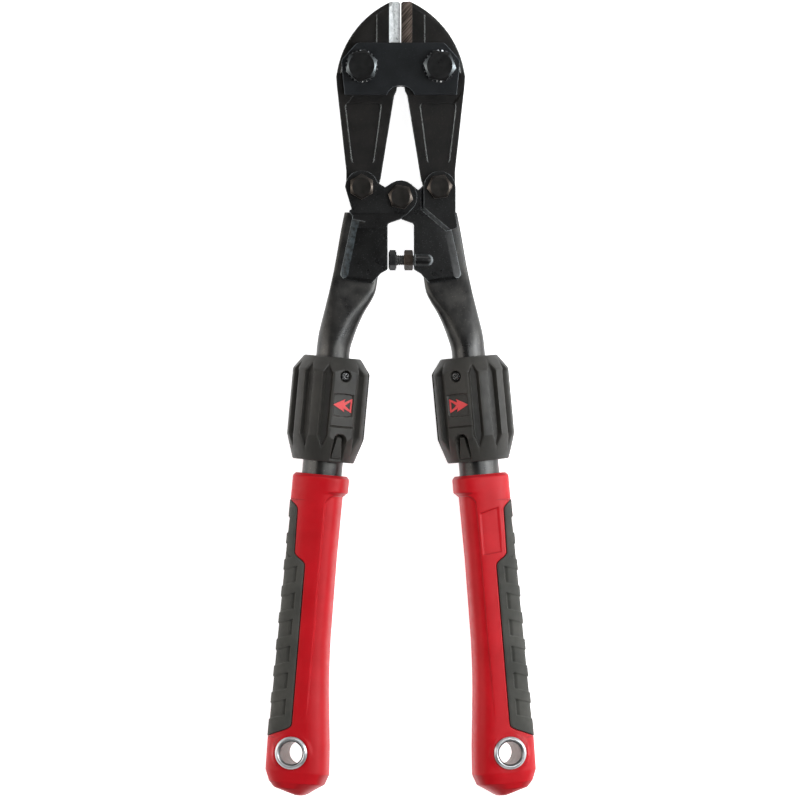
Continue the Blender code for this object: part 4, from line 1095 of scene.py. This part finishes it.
def make_eyelet(side, label):
    place = handle_frame(side, -side * GRIP_CANT, EYELET_AT) @ FORWARD
    top, seat = EYELET_FACE, GRIP_HALF + 0.05
    half = [(EYELET_FLANGE, seat), (EYELET_FLANGE, seat + 0.55, 0.5), (EYELET_FLANGE - 0.9, top, 0.7)]
    half += [(EYELET_BORE + 0.75, top, 0.7), (EYELET_BORE, top - 1.2, 0.5), (EYELET_BORE, top - 2.4)]
    upper = fillet(half, 6)
    lower = [(radius, -height) for radius, height in reversed(upper)]
    profile = upper + lower + [(EYELET_BARREL, -seat), (EYELET_BARREL, seat)]
    name = f"{label}_eyelet_fine"
    mesh = lathe(name, profile, place, 96, ring=True)
    add(name, mesh, f"{label}_grip", [f"{label}_eyelet"], SILVER, 60)


# ---------------- stage


def softbox(name, place, size, power, colour=(1, 1, 1)):
    """A rectangular lamp that faces the middle of the tool."""
    light = bpy.data.lights.new(name, "AREA")
    light.shape = "RECTANGLE"
    light.size, light.size_y = size
    light.energy, light.color = power, colour
    lamp = as_object(name, light)
    lamp.location = place
    lamp.rotation_euler = (-Vector(place)).to_track_quat("-Z", "Y").to_euler()


def make_floor():
    mesh, reach = bpy.data.meshes.new("floor"), 3.0
    corners = [(-reach, -reach, 0), (reach, -reach, 0), (reach, reach, 0), (-reach, reach, 0)]
    mesh.from_pydata(corners, [], [(0, 1, 2, 3)])
    look = Look("floor_paint", 0.9, Specular_IOR_Level=0.1, Emission_Strength=0.85)
    look.shader.inputs["Emission Color"].default_value = (1, 1, 1, 1)
    paint = look.mix(look.noise(400, 2), (0.93, 0.93, 0.93, 1), (0.95, 0.95, 0.95, 1))
    mesh.materials.append(look.done(paint))
    floor = as_object("floor", mesh)
    floor.location.z = -0.0006


def make_world():
    """A sky that is white at the horizon and dark above."""
    world = bpy.data.worlds.new("studio")
    bpy.context.scene.world = world
    world.use_nodes = True
    tree = world.node_tree
    background = tree.nodes["Background"]
    spot = node(tree, "SeparateXYZ", {0: node(tree, "TexCoord").outputs["Generated"]})
    ramp = node(tree, "ValToRGB", {0: spot.outputs[2]})
    low, high = ramp.color_ramp.elements
    low.position, low.color = 0.0, (0.95, 0.95, 0.96, 1)
    high.position, high.color = 0.9, (0.1, 0.1, 0.1, 1)
    tree.links.new(ramp.outputs[0], background.inputs["Color"])
    background.inputs["Strength"].default_value = 0.4


def make_stage():
    make_floor()
    make_world()
    cool, warm = (0.95, 0.98, 1.0), (1.0, 0.96, 0.91)
    softbox("right_box", (0.9, 0.1, 0.25), (0.3, 1.3), 7.0, cool)
    softbox("high_box", (0.62, 0.1, 0.85), (0.14, 1.2), 4.5, cool)
    softbox("left_box", (-0.95, 0.05, 0.4), (0.3, 1.2), 3.5, warm)
    softbox("top_box", (0.15, 1.0, 1.1), (1.1, 0.4), 5.5)
    softbox("low_box", (0.0, -1.1, 0.5), (0.9, 0.3), 1.0)
    camera = bpy.data.cameras.new("camera")
    camera.lens, camera.sensor_width = 400, 36
    camera.clip_start, camera.clip_end = 0.01, 20
    eye = as_object("camera", camera)
    eye.location = (-0.0003, (HEAD_FORWARD - 149.9) * MM, 4.0 + HEAD_LIFT * MM)
    bpy.context.scene.camera = eye
    bpy.context.scene.view_settings.view_transform = "Standard"


# ---------------- build

keep_head()
make_jaw_bolts()
make_link_bolts()
make_stop_screw()
for SIDE, LABEL in SIDES:
    make_inner_tube(SIDE, LABEL)
    make_outer_tube(SIDE, LABEL)
    make_collar(SIDE, LABEL)
    make_grip_shell(SIDE, LABEL)
    make_grip_rubber(SIDE, LABEL)
    make_eyelet(SIDE, LABEL)
make_stage()
